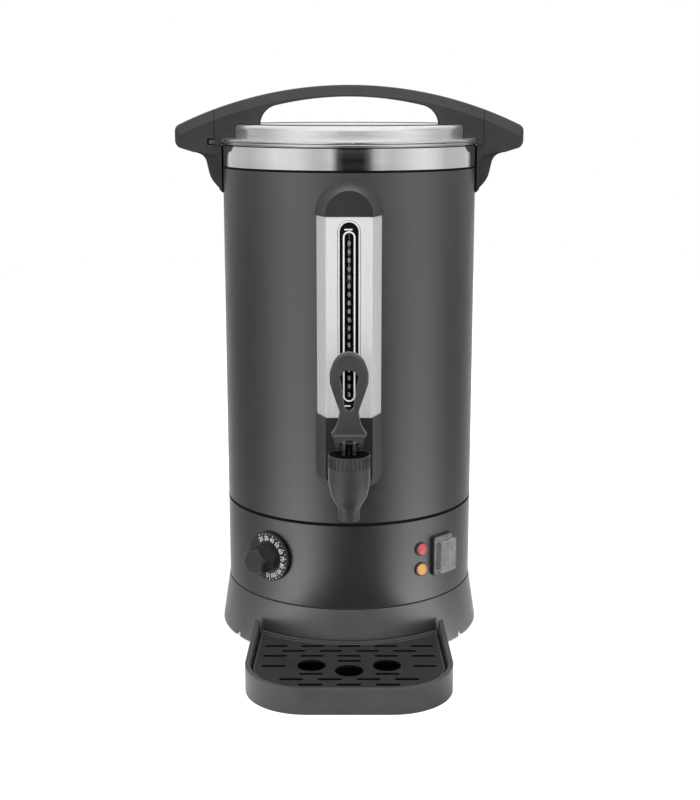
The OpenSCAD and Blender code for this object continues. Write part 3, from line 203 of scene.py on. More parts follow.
# %% [markdown]
# ## Studio
#
# Products like this one are lit by big soft boxes at both sides, with the dark camera in the
# gap between them. A glossy cylinder shows that as a dark line down its middle, a bright band
# at each side of it and a mid grey edge. The world below is that studio: what a reflected ray
# sees depends on the compass direction it leaves in, with 0 towards the camera, minus to the
# left and 180 straight behind. Three rows of brightness lie above each other: rays that leave
# low, as from the painted body, meet the soft lower part of the boxes, rays that leave nearly
# level, as from the collar, meet the boxes themselves, and rays that leave upwards meet an open
# studio without the dark card. Diffuse rays see a plain grey, and the camera sees white.

# %% The boxes, as brightness by direction
LOW_BOXES = [
    (-180, 1.0), (-152, 0.9), (-136, 0.4), (-118, 0.26), (-102, 0.2), (-88, 0.3), (-75, 0.56), (-62, 0.86),
    (-45, 1.0), (-31, 0.6), (-14, 0.12), (-7, 0.05), (22, 0.05), (33, 0.2), (46, 0.6),
    (60, 0.92), (74, 0.96), (86, 0.68), (98, 0.36), (113, 0.26), (133, 0.4), (152, 0.9), (180, 1.0),
]
HIGH_BOXES = [
    (-180, 0.04), (-148, 0.05), (-138, 0.7), (-127, 0.6), (-100, 0.57), (-81, 0.74), (-69, 0.9),
    (-47, 0.84), (-32, 0.62), (-24, 0.62), (-16, 0.74), (-10, 0.08), (-5, 0.012), (12, 0.012),
    (17, 0.1), (23, 0.56), (29, 0.72), (39, 0.63), (60, 0.86), (71, 0.92), (83, 0.82), (96, 0.6),
    (124, 0.6), (134, 0.7), (143, 0.06), (180, 0.04),
]
OPEN_BOXES = [
    (-180, 0.84), (-145, 0.6), (-112, 0.3), (-92, 0.3), (-55, 0.8), (0, 0.84), (55, 0.84), (92, 0.35),
    (112, 0.35), (145, 0.6), (180, 0.84),
]
LEVEL_FROM = -0.062
LEVEL_TO = -0.048
OPEN_FROM = -0.012
OPEN_TO = -0.002
OVERHEAD_FROM = 0.3
OVERHEAD_TO = 0.8
DIFFUSE_FROM = -0.3
DIFFUSE_TO = 0.7


def ramp_node(tree, share, stops):
    """A colour ramp over directions from -180 to 180 degrees."""
    ramp = add_node(tree, "ShaderNodeValToRGB", Fac=share)
    elements = ramp.color_ramp.elements
    while len(elements) < len(stops):
        elements.new(0.5)
    for element, (degrees, level) in zip(elements, stops):
        element.position = degrees / 360 + 0.5
        element.color = (level, level, level, 1)
    return ramp.outputs[0]


def direction_share(tree, x, y):
    """0 to 1 for a direction from -180 to 180 degrees, where 0.5 is towards the camera."""
    forward = math_node(tree, "MULTIPLY", y, -1.0)
    angle = math_node(tree, "ARCTAN2", x, forward)
    return math_node(tree, "ADD", math_node(tree, "DIVIDE", angle, 2 * math.pi), 0.5)


print(len(LOW_BOXES), "and", len(HIGH_BOXES), "directions")

# %% World
FAR_LEVEL = 0.8
OVERHEAD_LEVEL = 0.86
DIFFUSE_LOW = 0.3
DIFFUSE_HIGH = 0.9


def add_world():
    world = bpy.data.worlds.new("studio")
    world.use_nodes = True
    tree = world.node_tree
    tree.nodes.clear()
    x, y, z = axes_of(tree, tree.nodes.new("ShaderNodeTexCoord").outputs["Generated"])
    share = direction_share(tree, x, y)
    low_part = ramp_node(tree, share, LOW_BOXES)
    high_part = ramp_node(tree, share, HIGH_BOXES)
    far_part = mixed(tree, FAR_LEVEL, 0.0, low_part)
    boxes = mixed(tree, map_range(tree, z, LEVEL_FROM, LEVEL_TO), far_part, high_part)
    open_part = ramp_node(tree, share, OPEN_BOXES)
    open_air = mixed(tree, map_range(tree, z, OPEN_FROM, OPEN_TO), boxes, open_part)
    sky = mixed(tree, map_range(tree, z, OVERHEAD_FROM, OVERHEAD_TO), open_air, OVERHEAD_LEVEL)
    rays = tree.nodes.new("ShaderNodeLightPath")
    soft = mixed(tree, map_range(tree, z, DIFFUSE_FROM, DIFFUSE_TO), DIFFUSE_LOW, DIFFUSE_HIGH)
    lit = mixed(tree, rays.outputs["Is Glossy Ray"], soft, sky)
    seen = math_node(tree, "MAXIMUM", rays.outputs["Is Camera Ray"], rays.outputs["Is Transmission Ray"])
    background = add_node(tree, "ShaderNodeBackground", Color=mixed(tree, seen, lit, 1.0))
    add_node(tree, "ShaderNodeOutputWorld", Surface=background.outputs[0])
    bpy.context.scene.world = world
    bpy.context.scene.view_settings.view_transform = "Standard"


add_world()
print("world: level rays see the boxes from", LEVEL_TO, "up, and no card from", OPEN_TO)

# %% [markdown]
# ## Lamps
#
# The world alone would light the urn evenly, so three area lamps add a soft direction: one at
# each side in front, and one above. They are hidden from glossy rays, because the world already
# draws the boxes that a reflection should show.

# %% Lamps
def add_lamp(name, at, aim, size, watts):
    data = bpy.data.lights.new(name, "AREA")
    data.shape = "RECTANGLE"
    data.size, data.size_y = size
    data.energy = watts
    lamp = add_object(name, data)
    lamp.location = at
    lamp.rotation_euler = (Vector(aim) - Vector(at)).to_track_quat("-Z", "Y").to_euler()
    lamp.visible_glossy = False


MIDDLE = (0, 0, 0.25)
add_lamp("left_box", (-1.0, -1.7, 0.9), MIDDLE, (0.9, 1.4), 10)
add_lamp("right_box", (1.1, -1.6, 0.9), MIDDLE, (0.9, 1.4), 10)
add_lamp("top_box", (0, -0.2, 2.0), MIDDLE, (1.4, 1.4), 14)
print("three soft lamps")

# %% [markdown]
# ## Floor
#
# The floor is one pale disc. To the camera it is nearly white, so the picture has a clean
# ground, and it still darkens a little where the urn stands. A glossy surface sees the studio
# mirrored in it, so for glossy rays it glows with the brightness of the boxes in that direction,
# more strongly close to the urn than far away.

# %% Floor
FLOOR_REACH = 3.0
FLOOR_RIM = 96
FLOOR_GLOW = 0.5
MIRROR_CENTRE = 0.09
MIRROR_NEAR = 0.27
MIRROR_FAR = 0.68


def circle(radius, z, count=96, centre=(0, 0), start=0.0):
    """Points round a circle, from an angle on."""
    turns = [2 * math.pi * i / count + start for i in range(count)]
    return [
        Vector((centre[0] + radius * math.cos(turn), centre[1] + radius * math.sin(turn), z))
        for turn in turns
    ]


def pale_floor():
    mesh = bpy.data.meshes.new("floor")
    mesh.from_pydata(circle(FLOOR_REACH, 0, FLOOR_RIM), [], [tuple(range(FLOOR_RIM))])
    floor = add_object("floor", mesh)
    material, tree, shader = new_material(
        "pale_floor", Base_Color=(0.8, 0.8, 0.8, 1), Roughness=0.7, Specular_IOR_Level=0.2
    )
    rays = tree.nodes.new("ShaderNodeLightPath")
    shader.inputs["Emission Color"].default_value = (1, 1, 1, 1)
    glow = math_node(tree, "MULTIPLY", rays.outputs["Is Camera Ray"], FLOOR_GLOW)
    feed(tree, glow, shader.inputs["Emission Strength"])
    place = object_place(tree)
    x, y = axes_of(tree, place)[:2]
    share = direction_share(tree, x, math_node(tree, "ADD", y, MIRROR_CENTRE))
    away = add_node(tree, "ShaderNodeVectorMath", operation="LENGTH", Vector=place)
    nearer = math_node(tree, "DIVIDE", MIRROR_NEAR, away.outputs["Value"])
    mirrored = add_node(
        tree, "ShaderNodeEmission", Color=ramp_node(tree, share, LOW_BOXES),
        Strength=math_node(tree, "ADD", MIRROR_FAR, nearer)
    )
    either = tree.nodes.new("ShaderNodeMixShader")
    ends = (rays.outputs["Is Glossy Ray"], shader.outputs[0], mirrored.outputs[0])
    for end, socket in zip(ends, either.inputs):
        feed(tree, end, socket)
    feed(tree, either.outputs[0], tree.nodes["Material Output"].inputs["Surface"])
    mesh.materials.append(material)
    return floor


floor = pale_floor()
print("floor", floor.name, "reaches", FLOOR_REACH, "m")

# %% [markdown]
# ## Finishes
#
# The urn has four main finishes: moulded black plastic with a fine spark-eroded grain, a satin
# powder coat, stainless steel brushed either round its axis or straight up, and clear
# mouldings. What two or more finishes share, such as the grain and the brushing, is a node
# group with its sizes as inputs. A group only gives masks, values and heights: the shader
# itself stays in each material.

# %% Groups: grain and brushing
BAND_SHARE = 0.12


def new_group(name, inputs, outputs):
    """A shader node group with named float inputs and outputs."""
    tree = bpy.data.node_groups.new(name, "ShaderNodeTree")
    for title, default in inputs:
        socket = tree.interface.new_socket(title, in_out="INPUT", socket_type="NodeSocketFloat")
        socket.default_value = default
    for title in outputs:
        tree.interface.new_socket(title, in_out="OUTPUT", socket_type="NodeSocketFloat")
    return tree, tree.nodes.new("NodeGroupInput"), tree.nodes.new("NodeGroupOutput")


def noise(tree, place, scale, detail, rough):
    """Noise from 0 to 1 over a place."""
    values = {"Vector": place, "Scale": scale, "Detail": detail, "Roughness": rough}
    return add_node(tree, "ShaderNodeTexNoise", **values).outputs["Fac"]


def grain_group():
    """Fine pits and a slow mottle, as on a moulding from a spark-eroded tool."""
    tree, given, result = new_group(
        "grain", [("Pits per metre", 900), ("Mottle per metre", 40)], ["Height", "Mottle"]
    )
    place = object_place(tree)
    feed(tree, noise(tree, place, given.outputs[0], 2.0, 0.6), result.inputs["Height"])
    feed(tree, noise(tree, place, given.outputs[1], 3.0, 0.55), result.inputs["Mottle"])
    return tree


def brushing_group():
    """Streaks that run along one direction of a given vector."""
    tree, given, result = new_group("brushing", [("Streaks per metre", 1500)], ["Streak", "Band"])
    tree.interface.new_socket("Place", in_out="INPUT", socket_type="NodeSocketVector")
    place = given.outputs["Place"]
    wide = math_node(tree, "MULTIPLY", given.outputs[0], BAND_SHARE)
    feed(tree, noise(tree, place, given.outputs[0], 4.0, 0.7), result.inputs["Streak"])
    feed(tree, noise(tree, place, wide, 2.0, 0.5), result.inputs["Band"])
    return tree


GRAIN = grain_group()
BRUSHING = brushing_group()
print("groups:", GRAIN.name, "and", BRUSHING.name)

# %% Helpers that place the groups
NOISE_LOW = 0.3
NOISE_HIGH = 0.7
STREAK_SQUEEZE = 0.02


def surface(tree, shader, tone, gloss, height, dark, light, rough, depth):
    """Colour, roughness and fine relief of a finish, each from its own mask."""
    tone_share = map_range(tree, tone, NOISE_LOW, NOISE_HIGH)
    relief = add_node(tree, "ShaderNodeBump", Strength=1.0, Distance=depth, Height=height)
    feed(tree, mixed(tree, tone_share, dark, light), shader.inputs["Base Color"])
    feed(tree, map_range(tree, gloss, NOISE_LOW, NOISE_HIGH, *rough), shader.inputs["Roughness"])
    feed(tree, relief.outputs[0], shader.inputs["Normal"])


def grained(name, dark, light, rough, pits=900, depth=0.00004, **values):
    """A matt or satin moulding with the grain group."""
    material, tree, shader = new_material(name, **values)
    masks = add_node(tree, "ShaderNodeGroup", node_tree=GRAIN, Pits_per_metre=pits).outputs
    surface(tree, shader, masks["Mottle"], masks["Mottle"], masks["Height"], dark, light, rough, depth)
    return material


def round_place(tree):
    """Cylinder coordinates: streaks that run round the body's axis."""
    x, y, z = axes_of(tree, object_place(tree))
    squares = [math_node(tree, "MULTIPLY", axis, axis) for axis in (x, y)]
    far = math_node(tree, "SQRT", math_node(tree, "ADD", *squares))
    sides = [math_node(tree, "MULTIPLY", axis, STREAK_SQUEEZE) for axis in (x, y)]
    up = math_node(tree, "ADD", far, z)
    return add_node(tree, "ShaderNodeCombineXYZ", X=sides[0], Y=sides[1], Z=up).outputs[0]


def upright_place(tree):
    """Streaks that run straight up."""
    scale = (1, 1, STREAK_SQUEEZE)
    return add_node(tree, "ShaderNodeMapping", Scale=scale, Vector=object_place(tree)).outputs[0]


def brushed(name, place, dark, light, rough, depth=0.00001, metal=1.0):
    """Brushed steel, with its streaks laid by the place function."""
    material, tree, shader = new_material(name, Metallic=metal)
    streak, band = add_node(tree, "ShaderNodeGroup", node_tree=BRUSHING, Place=place(tree)).outputs
    surface(tree, shader, streak, band, streak, dark, light, rough, depth)
    return material


# %% [markdown]
# ### The materials themselves
#
# Black plastic is never black: under soft boxes it reads as a warm dark grey, lighter where it
# faces up. The powder coat is a little darker and shows the boxes more clearly. Steel keeps
# its own colour close to white and gets its greys from what it reflects. A colour is written
# as one grey level, as a grey level with its own blue, or as red, green and blue.

# %% Materials
black_plastic = grained(
    "moulded_black", (0.0095, 0.01), (0.019, 0.02), (0.34, 0.46), depth=0.00008, IOR=1.7
)
lever_plastic = grained(
    "lever_black", (0.026, 0.027), (0.038, 0.039), (0.36, 0.44), IOR=1.75,
    Sheen_Weight=0.4, Sheen_Roughness=0.3,
)
dial_plastic = grained("dial_black", (0.018, 0.019), (0.022, 0.023), (0.32, 0.4))
tap_plastic = grained(
    "tap_black", (0.022, 0.023), (0.032, 0.033), (0.46, 0.54), depth=0.00008,
    IOR=1.7, Sheen_Weight=1.0, Sheen_Roughness=0.24,
)
# Deep black is the real finish of the gauge's back plate, and it is also laid as painted shade in gaps, seams and
# hollows.
deep_black = grained("deep_black", 0.004, 0.007, (0.55, 0.7), Specular_IOR_Level=0.05)
skirt_plastic = grained("skirt_black", (0.03, 0.031), (0.037, 0.038), (0.3, 0.36), IOR=2.4)
# The tray's plastic also gives the grille's bead and the tap's rim a lighter tone, as a painted highlight.
tray_plastic = grained(
    "tray_black", (0.058, 0.059), (0.07, 0.071), (0.44, 0.52), pits=700,
    depth=0.00008, Sheen_Weight=0.08, Sheen_Roughness=0.3,
)
grille_plastic = grained("grille_black", (0.019, 0.02), (0.027, 0.028), (0.4, 0.5), pits=700)
powder_coat = grained(
    "powder_coat", (0.0085, 0.009), (0.0105, 0.011), (0.3, 0.35),
    pits=1500, depth=0.00002, IOR=2.25,
)
round_steel = brushed(
    "steel_brushed_round", round_place, (0.76, 0.755), (0.84, 0.835), (0.24, 0.3),
    depth=0.000004,
)
lid_steel = brushed(
    "steel_lid", round_place, (0.84, 0.835), (0.98, 0.975), (0.22, 0.3), metal=0.88,
    depth=0.000006,
)
collar_steel = brushed(
    "steel_collar", round_place, (0.74, 0.735), (0.82, 0.815), (0.05, 0.09),
    depth=0.0000005,
)
dark_steel = grained("blackened_steel", 0.1, 0.14, (0.3, 0.4), Metallic=1.0)
upright_steel = brushed(
    "steel_brushed_upright", upright_place, (0.8, 0.795), (0.9, 0.895), (0.4, 0.5),
    metal=0.5,
)
plated_steel = grained("plated_steel", (0.55, 0.54), (0.62, 0.61), (0.28, 0.36), Metallic=1.0)
cast_metal = grained("cast_aluminium", (0.5, 0.51), (0.6, 0.61), (0.5, 0.65), pits=300, Metallic=1.0)
copper = grained("drawn_copper", (0.6, 0.3, 0.17), (0.68, 0.36, 0.2), (0.3, 0.4), Metallic=1.0)
rubber = grained("matt_rubber", 0.015, 0.022, (0.7, 0.8))
silicone = grained("silicone", (0.66, 0.63), (0.74, 0.7), (0.5, 0.6))
cream = grained("cream_moulding", (0.7, 0.66, 0.55), (0.78, 0.74, 0.62), (0.4, 0.5))
gloss_black = grained("gloss_black", 0.012, 0.016, (0.12, 0.2), depth=0.000005)
# Near-white and half metal: a painted highlight on the gauge slot's lip.
highlight_steel = grained("highlight_steel", (0.86, 0.85), (0.92, 0.91), (0.3, 0.4), Metallic=0.4)
strip_grey = grained("strip_grey", 0.05, 0.13, (0.5, 0.6), pits=1200)
white_print = grained("white_print", (0.72, 0.7), (0.8, 0.78), (0.4, 0.5), depth=0.00001)
grey_print = grained("grey_print", 0.22, 0.3, (0.4, 0.5), depth=0.00001)
clear_glass = new_material(
    "clear_glass", Base_Color=(0.95, 0.97, 0.97, 1), Roughness=0.03, Transmission_Weight=1.0, IOR=1.47
)[0]
clear_boot = grained(
    "clear_boot", (0.5, 0.51, 0.52), (0.9, 0.91, 0.92), (0.04, 0.08), pits=160, depth=0.0008,
    Transmission_Weight=0.85, IOR=1.5, Coat_Weight=0.5,
)
red_lens = grained(
    "red_lens", (0.62, 0.07, 0.1), (0.7, 0.1, 0.13), (0.1, 0.16), depth=0.000005,
    Transmission_Weight=0.2, Coat_Weight=1.0,
)
amber_lens = grained(
    "amber_lens", (0.86, 0.42, 0.1), (0.92, 0.48, 0.13), (0.1, 0.16), depth=0.000005,
    Transmission_Weight=0.2, Coat_Weight=1.0,
)

FINISH = {
    "black_plastic": black_plastic, "dark_paint": powder_coat, "brushed_steel": round_steel,
    "plated_steel": plated_steel, "cast_aluminium": cast_metal, "copper_tube": copper,
    "black_rubber": rubber, "white_silicone": silicone, "clear_glass": clear_glass,
    "clear_boot": clear_boot, "red_lens": red_lens, "amber_lens": amber_lens,
    "gloss_black": gloss_black, "cream_plastic": cream,
}
OWN_FINISH = {
    "lid_pan": lid_steel, "tap_stem": dark_steel, "tap_pivot_pin": dark_steel, "tap_spring": dark_steel,
}


def dress(name, material):
    """Gives a part of the frame its finish."""
    mesh = nodes[name].data
    mesh.materials.clear()
    mesh.materials.append(material)


for part in frame["record"]["subparts"]:
    finish = OWN_FINISH.get(part["node"], FINISH[part["material_slot"]])
    dress(part["node"], finish)
print(len(bpy.data.materials), "materials")

# %% [markdown]
# ## Edges that are soft
#
# No moulded or pressed edge is perfectly sharp: each has a radius of a few tenths of a
# millimetre or more, and that radius is what catches the light and draws a fine bright line
# round the part. The construction has sharp edges there, so each visible part gets a stand-in:
# a copy of its mesh with the loose triangles merged, the flat ones dissolved into whole faces,
# and a Bevel on every edge that is sharper than a set angle. A Weighted Normal keeps the big
# faces flat in the shading. It could be done with a bevel in the shader, but then the outline
# would stay sharp and the export would lose it.

# %% Helpers for pieces
MERGE = 0.000002
FLAT = math.radians(0.4)
BEVEL_STEPS = 3
BEVEL_ABOVE = math.radians(28)
BODY_OF = {
    part: body for body, parts in frame["record"]["behaviour"]["bodies"].items() for part in parts
}


def new_piece(name, mesh, material, body):
    """An object for a finished mesh, with its finish, that rides on a body."""
    mesh.materials.clear()
    mesh.materials.append(material)
    piece = add_object(name, mesh)
    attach(piece, body)
    return piece


def evaluated_mesh(scratch, name):
    """The plain mesh of a scratch object with its modifiers, and the scratch object removed."""
    bpy.context.view_layer.update()
    graph = bpy.context.evaluated_depsgraph_get()
    mesh = bpy.data.meshes.new_from_object(scratch.evaluated_get(graph), depsgraph=graph)
    mesh.name = name
    data = scratch.data
    bpy.data.objects.remove(scratch)
    if data.users == 0:
        (bpy.data.curves if isinstance(data, bpy.types.Curve) else bpy.data.meshes).remove(data)
    return mesh


def part_mesh(part):
    """A part's mesh to work on, with its loose triangles joined."""
    mesh = bmesh.new()
    mesh.from_mesh(nodes[part].data)
    bmesh.ops.remove_doubles(mesh, verts=mesh.verts, dist=MERGE)
    return mesh


def plain_mesh(mesh, name, smooth=None):
    """Ends the work on a mesh. Smooth, where given, sets the shading of every face."""
    if smooth is not None:
        for face in mesh.faces:
            face.smooth = smooth
    result = bpy.data.meshes.new(name)
    mesh.to_mesh(result)
    mesh.free()
    return result


def merged_copy(part):
    """A part's mesh with its flat triangles dissolved into whole faces."""
    mesh = part_mesh(part)
    bmesh.ops.dissolve_limit(mesh, angle_limit=FLAT, verts=mesh.verts, edges=mesh.edges)
    copy = plain_mesh(mesh, "copy", smooth=True)
    for name in ("custom_normal", "sharp_edge", "sharp_face"):
        if name in copy.attributes:
            copy.attributes.remove(copy.attributes[name])
    return copy


def softened(part, radius, material):
    """A stand-in for a part, with its edges rounded."""
    scratch = add_object("scratch", merged_copy(part))
    bevel = scratch.modifiers.new("edges", "BEVEL")
    bevel.width = radius
    bevel.segments = BEVEL_STEPS
    bevel.limit_method = "ANGLE"
    bevel.angle_limit = BEVEL_ABOVE
    bevel.miter_outer = "MITER_ARC"
    scratch.modifiers.new("normals", "WEIGHTED_NORMAL").keep_sharp = False
    mesh = evaluated_mesh(scratch, part + "_soft")
    piece = new_piece(part + "_soft", mesh, material, BODY_OF[part])
    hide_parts(part)
    return piece


# %% Soft edges
SOFT_EDGES = {
    "side_handle_left": (1.3, black_plastic), "side_handle_right": (1.3, black_plastic),
    "lid_handle": (1.3, black_plastic), "gauge_cap": (0.7, skirt_plastic),
    "tap_housing": (0.8, skirt_plastic), "tap_body": (0.5, tap_plastic),
    "tap_bonnet": (0.3, tap_plastic), "tap_lever": (0.9, lever_plastic),
    "thermostat_knob": (0.6, dial_plastic), "dial_ring": (0.3, dial_plastic),
    "drip_tray": (0.9, tray_plastic), "drip_grille": (0.5, grille_plastic),
    "base_skirt": (0.8, skirt_plastic), "lower_housing": (0.4, powder_coat),
    "outer_shell": (0.4, powder_coat), "rim_collar": (0.25, collar_steel),
    "gauge_cover": (0.35, upright_steel), "gauge_backplate": (0.2, deep_black),
    "switch_frame": (0.5, black_plastic), "switch_rocker": (0.5, gloss_black),
    "switch_boot": (0.8, clear_boot),
    "lamp_holders": (0.3, black_plastic), "rubber_feet": (0.6, rubber),
    "cord_gland": (0.4, rubber),
}
stand_ins = {
    part: softened(part, radius * MM, material) for part, (radius, material) in SOFT_EDGES.items()
}
for part, piece in stand_ins.items():
    print(part, len(nodes[part].data.polygons), "->", len(piece.data.polygons), "faces")

# %% [markdown]
# ## Faces with a second finish
#
# A few mouldings get a second finish on some faces, and most of it is painted shade: the floor
# of the tray under the grille, the walls of the grille's slots, the lid handle's ends at the seam,
# its foot at the drum and its underside, and the side handles' faces against the body are deep
# black where shade falls, and the tap housing's front is painted darker than its sides as shade.
# The top of the tap's bonnet is deep black too, and the gauge cap's front disc is matt rubber.
# A decal would need an image, so a test on each face's place or direction picks those faces
# instead, and they get a second material on the same piece.

# %% Second finishes
SEAM_EDGE = 1.6 * MM
DRUM_STEP = 12.2 * MM
DRUM_CLEAR = 2 * MM
ARCH_DARK = 24 * MM


def far_from_axis(face):
    return math.hypot(face.center.x, face.center.y)


def finish_faces(piece, material, wanted):
    """Gives the faces that pass a test a second finish."""
    piece.data.materials.append(material)
    faces = [face for face in piece.data.polygons if wanted(face)]
    for face in faces:
        face.material_index = 1
    return len(faces)


# Faces of the tray below the grille's underside form its floor, painted deep black as shade.
shaded_floor_below = low("drip_grille").z
seam_r = high("lid_handle").x - SEAM_EDGE
drum_r = high("lid_pan").x - DRUM_STEP
rim_r = low("side_handle_right").x + SEAM_EDGE


def faces_front(face):
    return face.normal.y < -0.99


def near_rim(face):
    return far_from_axis(face) < rim_r


def arch_in_shadow(face):
    """The arch's ends at the seam, its foot at the drum and its underside, which get painted shade."""
    at_drum = far_from_axis(face) < drum_r and face.center.z < Z_TOP + DRUM_CLEAR
    below = face.normal.z < -0.1 and face.center.z < Z_TOP + ARCH_DARK
    return far_from_axis(face) > seam_r or at_drum or below


SECOND_FINISH = {
    "drip_tray": (deep_black, lambda face: face.normal.z > 0.5 and face.center.z < shaded_floor_below),
    # The grille's slot walls, which face sideways or down, are painted deep black as shade.
    "drip_grille": (deep_black, lambda face: face.normal.z < 0.3),
    "tap_bonnet": (deep_black, lambda face: face.normal.z > 0.7),
    "gauge_cap": (rubber, faces_front),
    # The tap housing's front face is painted a darker black than its sides, as shade.
    "tap_housing": (dial_plastic, faces_front),
    "lid_handle": (deep_black, arch_in_shadow),
    # The side handles' faces next to the body get deep black as painted shade for the gap.
    "side_handle_left": (deep_black, near_rim),
    "side_handle_right": (deep_black, near_rim),
}
for part, (material, wanted) in SECOND_FINISH.items():
    print(part, finish_faces(stand_ins[part], material, wanted), "faces with a second finish")

# %% [markdown]
# ## Lofts: one helper for beads, bands and screws
#
# Many small fittings are rings of points joined to each other: a bead round the body is a small
# circle carried round a large one, a printed band is an outline inside an outline, and a screw
# is a stack of circles. One function joins such rings with quads. Closed lofts join the last
# ring to the first, and open ones get a cap at both ends.

# %% Helpers for lofts
def lofted(rings, closed=True, smooth=True):
    """A mesh from rings of points, which all have the same count."""
    mesh = bmesh.new()
    loops = [[mesh.verts.new(point) for point in ring] for ring in rings]
    count = len(rings[0])
    pairs = list(zip(loops, loops[1:])) + ([(loops[-1], loops[0])] if closed else [])
    for first, second in pairs:
        for i in range(count):
            after = (i + 1) % count
            mesh.faces.new((first[i], first[after], second[after], second[i]))
    if not closed:
        mesh.faces.new(loops[0])
        mesh.faces.new(loops[-1])
    bmesh.ops.recalc_face_normals(mesh, faces=mesh.faces)
    return plain_mesh(mesh, "loft", smooth)


def bead(radius, z, thick, count=192, centre=(0, 0), tall=1.0, sides=8):
    """A round bead carried round a circle. Tall stretches its section upwards."""
    rings = []
    for i in range(sides):
        turn = 2 * math.pi * i / sides
        out, up = thick * math.cos(turn), thick * tall * math.sin(turn)
        rings.append(circle(radius + out, z + up, count, centre))
    return lofted(rings)


def joined(meshes):
    """One mesh from several."""
    mesh = bmesh.new()
    for part in meshes:
        mesh.from_mesh(part)
        bpy.data.meshes.remove(part)
    return plain_mesh(mesh, "joined")


def auto_edges(mesh, degrees=30):
    """Smooth shading with edges over the given angle kept sharp."""
    mesh.set_sharp_from_angle(angle=math.radians(degrees))
    return mesh


# %% [markdown]
# ## Seams of the body
#
# The painted shell ends in a folded edge where it meets its neighbours. A thin black ring laid
# in each fold is painted shade: from the front each ring is the dark line of the gap that divides
# the body. A ring under the pot's rolled edge and one on the lid's top are painted shade too.

# %% Rings of painted shade in the seams
SEAM_THICK = 0.7 * MM
SEAM_PROUD = 0.25 * MM
LID_SEAM_IN = 18.5 * MM


# A black ring laid in a seam as painted shade.
def packing_ring(name, z, radius, tall, material=deep_black):
    mesh = bead(radius + SEAM_PROUD - SEAM_THICK, z, SEAM_THICK, tall=tall)
    return new_piece(name, mesh, material, "root")


shade_rings = [
    packing_ring("packing_ring_shell", Z_SHELL, BODY_R, 3.0),
    packing_ring("packing_ring_skirt", Z_LOWER, high("lower_housing").x, 1.8, rubber),
    packing_ring("packing_ring_collar", Z_COLLAR - SEAM_THICK, BODY_R, 1.8),
    packing_ring("packing_ring_rim", Z_RIM - SEAM_THICK, BODY_R, 1.0),
    packing_ring("packing_ring_lid", Z_TOP, high("lid_pan").x - LID_SEAM_IN, 1.0),
]
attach(shade_rings[-1], "lid")
print(len(shade_rings), "packing rings")

# %% [markdown]
# ## Rolled edges
#
# The pot's rim and the lid's flange end in a roll, so that no sheet edge is left bare. The
# construction's roll has facets that a bright steel shows, so a smooth bead is laid over it, a
# few hundredths of a millimetre proud.

# %% Rolled edges
FLANGE_ROLL = 1.12 * MM
OVERLAP = 0.03 * MM


def rolled_edge(name, radius, top, thick, body):
    """A smooth rolled edge over a pressed one, which hides its facets."""
    mesh = bead(radius - thick + OVERLAP, top - thick + OVERLAP, thick, 256, sides=16)
    return new_piece(name, mesh, round_steel, body)


pot_roll = (high("inner_pot").z - Z_RIM) / 2
rolled_edges = [
    rolled_edge("pot_rolled_edge", high("inner_pot").x, high("inner_pot").z, pot_roll, "root"),
    rolled_edge(
        "lid_rolled_edge", high("lid_pan").x, low("lid_pan").z + 2 * FLANGE_ROLL, FLANGE_ROLL, "lid"
    ),
]
print([piece.name for piece in rolled_edges], "pot roll", round(pot_roll, 5))

# %% [markdown]
# ## What repeats: one tree of nodes for each rule
#
# The dial has a tick at every number, the gauge has a scale of even marks, and the base plate
# has six equal screws. Each could be copied in a Python loop, but then the rule would be lost
# in the mesh. A small Geometry Nodes tree keeps it: points on a ring or in a row, or at given
# places, with one mark on each. The tree ends in real geometry with its material set, because
# instances would be dropped by the export.

# %% Helpers for geometry nodes
def new_geometry_tree(name, inputs):
    """A geometry tree with named inputs, a mark and a finish, and its two end nodes."""
    tree = bpy.data.node_groups.new(name, "GeometryNodeTree")
    for title, kind in (*inputs, ("Mark", "Object"), ("Finish", "Material")):
        tree.interface.new_socket(title, in_out="INPUT", socket_type="NodeSocket" + kind)
    tree.interface.new_socket("Geometry", in_out="OUTPUT", socket_type="NodeSocketGeometry")
    return tree, tree.nodes.new("NodeGroupInput"), tree.nodes.new("NodeGroupOutput")


def place_marks(tree, given, result, points, angle=None):
    """Puts the given mark on each point, and ends the tree."""
    mark = add_node(tree, "GeometryNodeObjectInfo", Object=given.outputs["Mark"])
    copies = add_node(
        tree, "GeometryNodeInstanceOnPoints", Points=points, Instance=mark.outputs["Geometry"]
    )
    if angle is not None:
        turned = add_node(tree, "ShaderNodeCombineXYZ", Z=angle)
        rotation = add_node(tree, "FunctionNodeEulerToRotation", Euler=turned.outputs[0])
        feed(tree, rotation.outputs[0], copies.inputs["Rotation"])
    real = add_node(tree, "GeometryNodeRealizeInstances", Geometry=copies.outputs[0])
    values = {"Geometry": real.outputs[0], "Material": given.outputs["Finish"]}
    finish = add_node(tree, "GeometryNodeSetMaterial", **values)
    feed(tree, finish.outputs[0], result.inputs["Geometry"])


def ring_tree():
    """Marks on a ring, turned to point outwards."""
    tree, given, result = new_geometry_tree("marks_on_ring", [
        ("Count", "Int"), ("Radius", "Float"), ("First angle", "Float"), ("Step angle", "Float"),
    ])
    index = tree.nodes.new("GeometryNodeInputIndex").outputs[0]
    angle = math_node(tree, "ADD", given.outputs["First angle"],
                      math_node(tree, "MULTIPLY", index, given.outputs["Step angle"]))
    x, y = [
        math_node(tree, "MULTIPLY", math_node(tree, operation, angle), given.outputs["Radius"])
        for operation in ("COSINE", "SINE")
    ]
    values = {
        "Count": given.outputs["Count"],
        "Position": add_node(tree, "ShaderNodeCombineXYZ", X=x, Y=y).outputs[0],
    }
    points = add_node(tree, "GeometryNodePoints", **values)
    place_marks(tree, given, result, points.outputs[0], angle)
    return tree


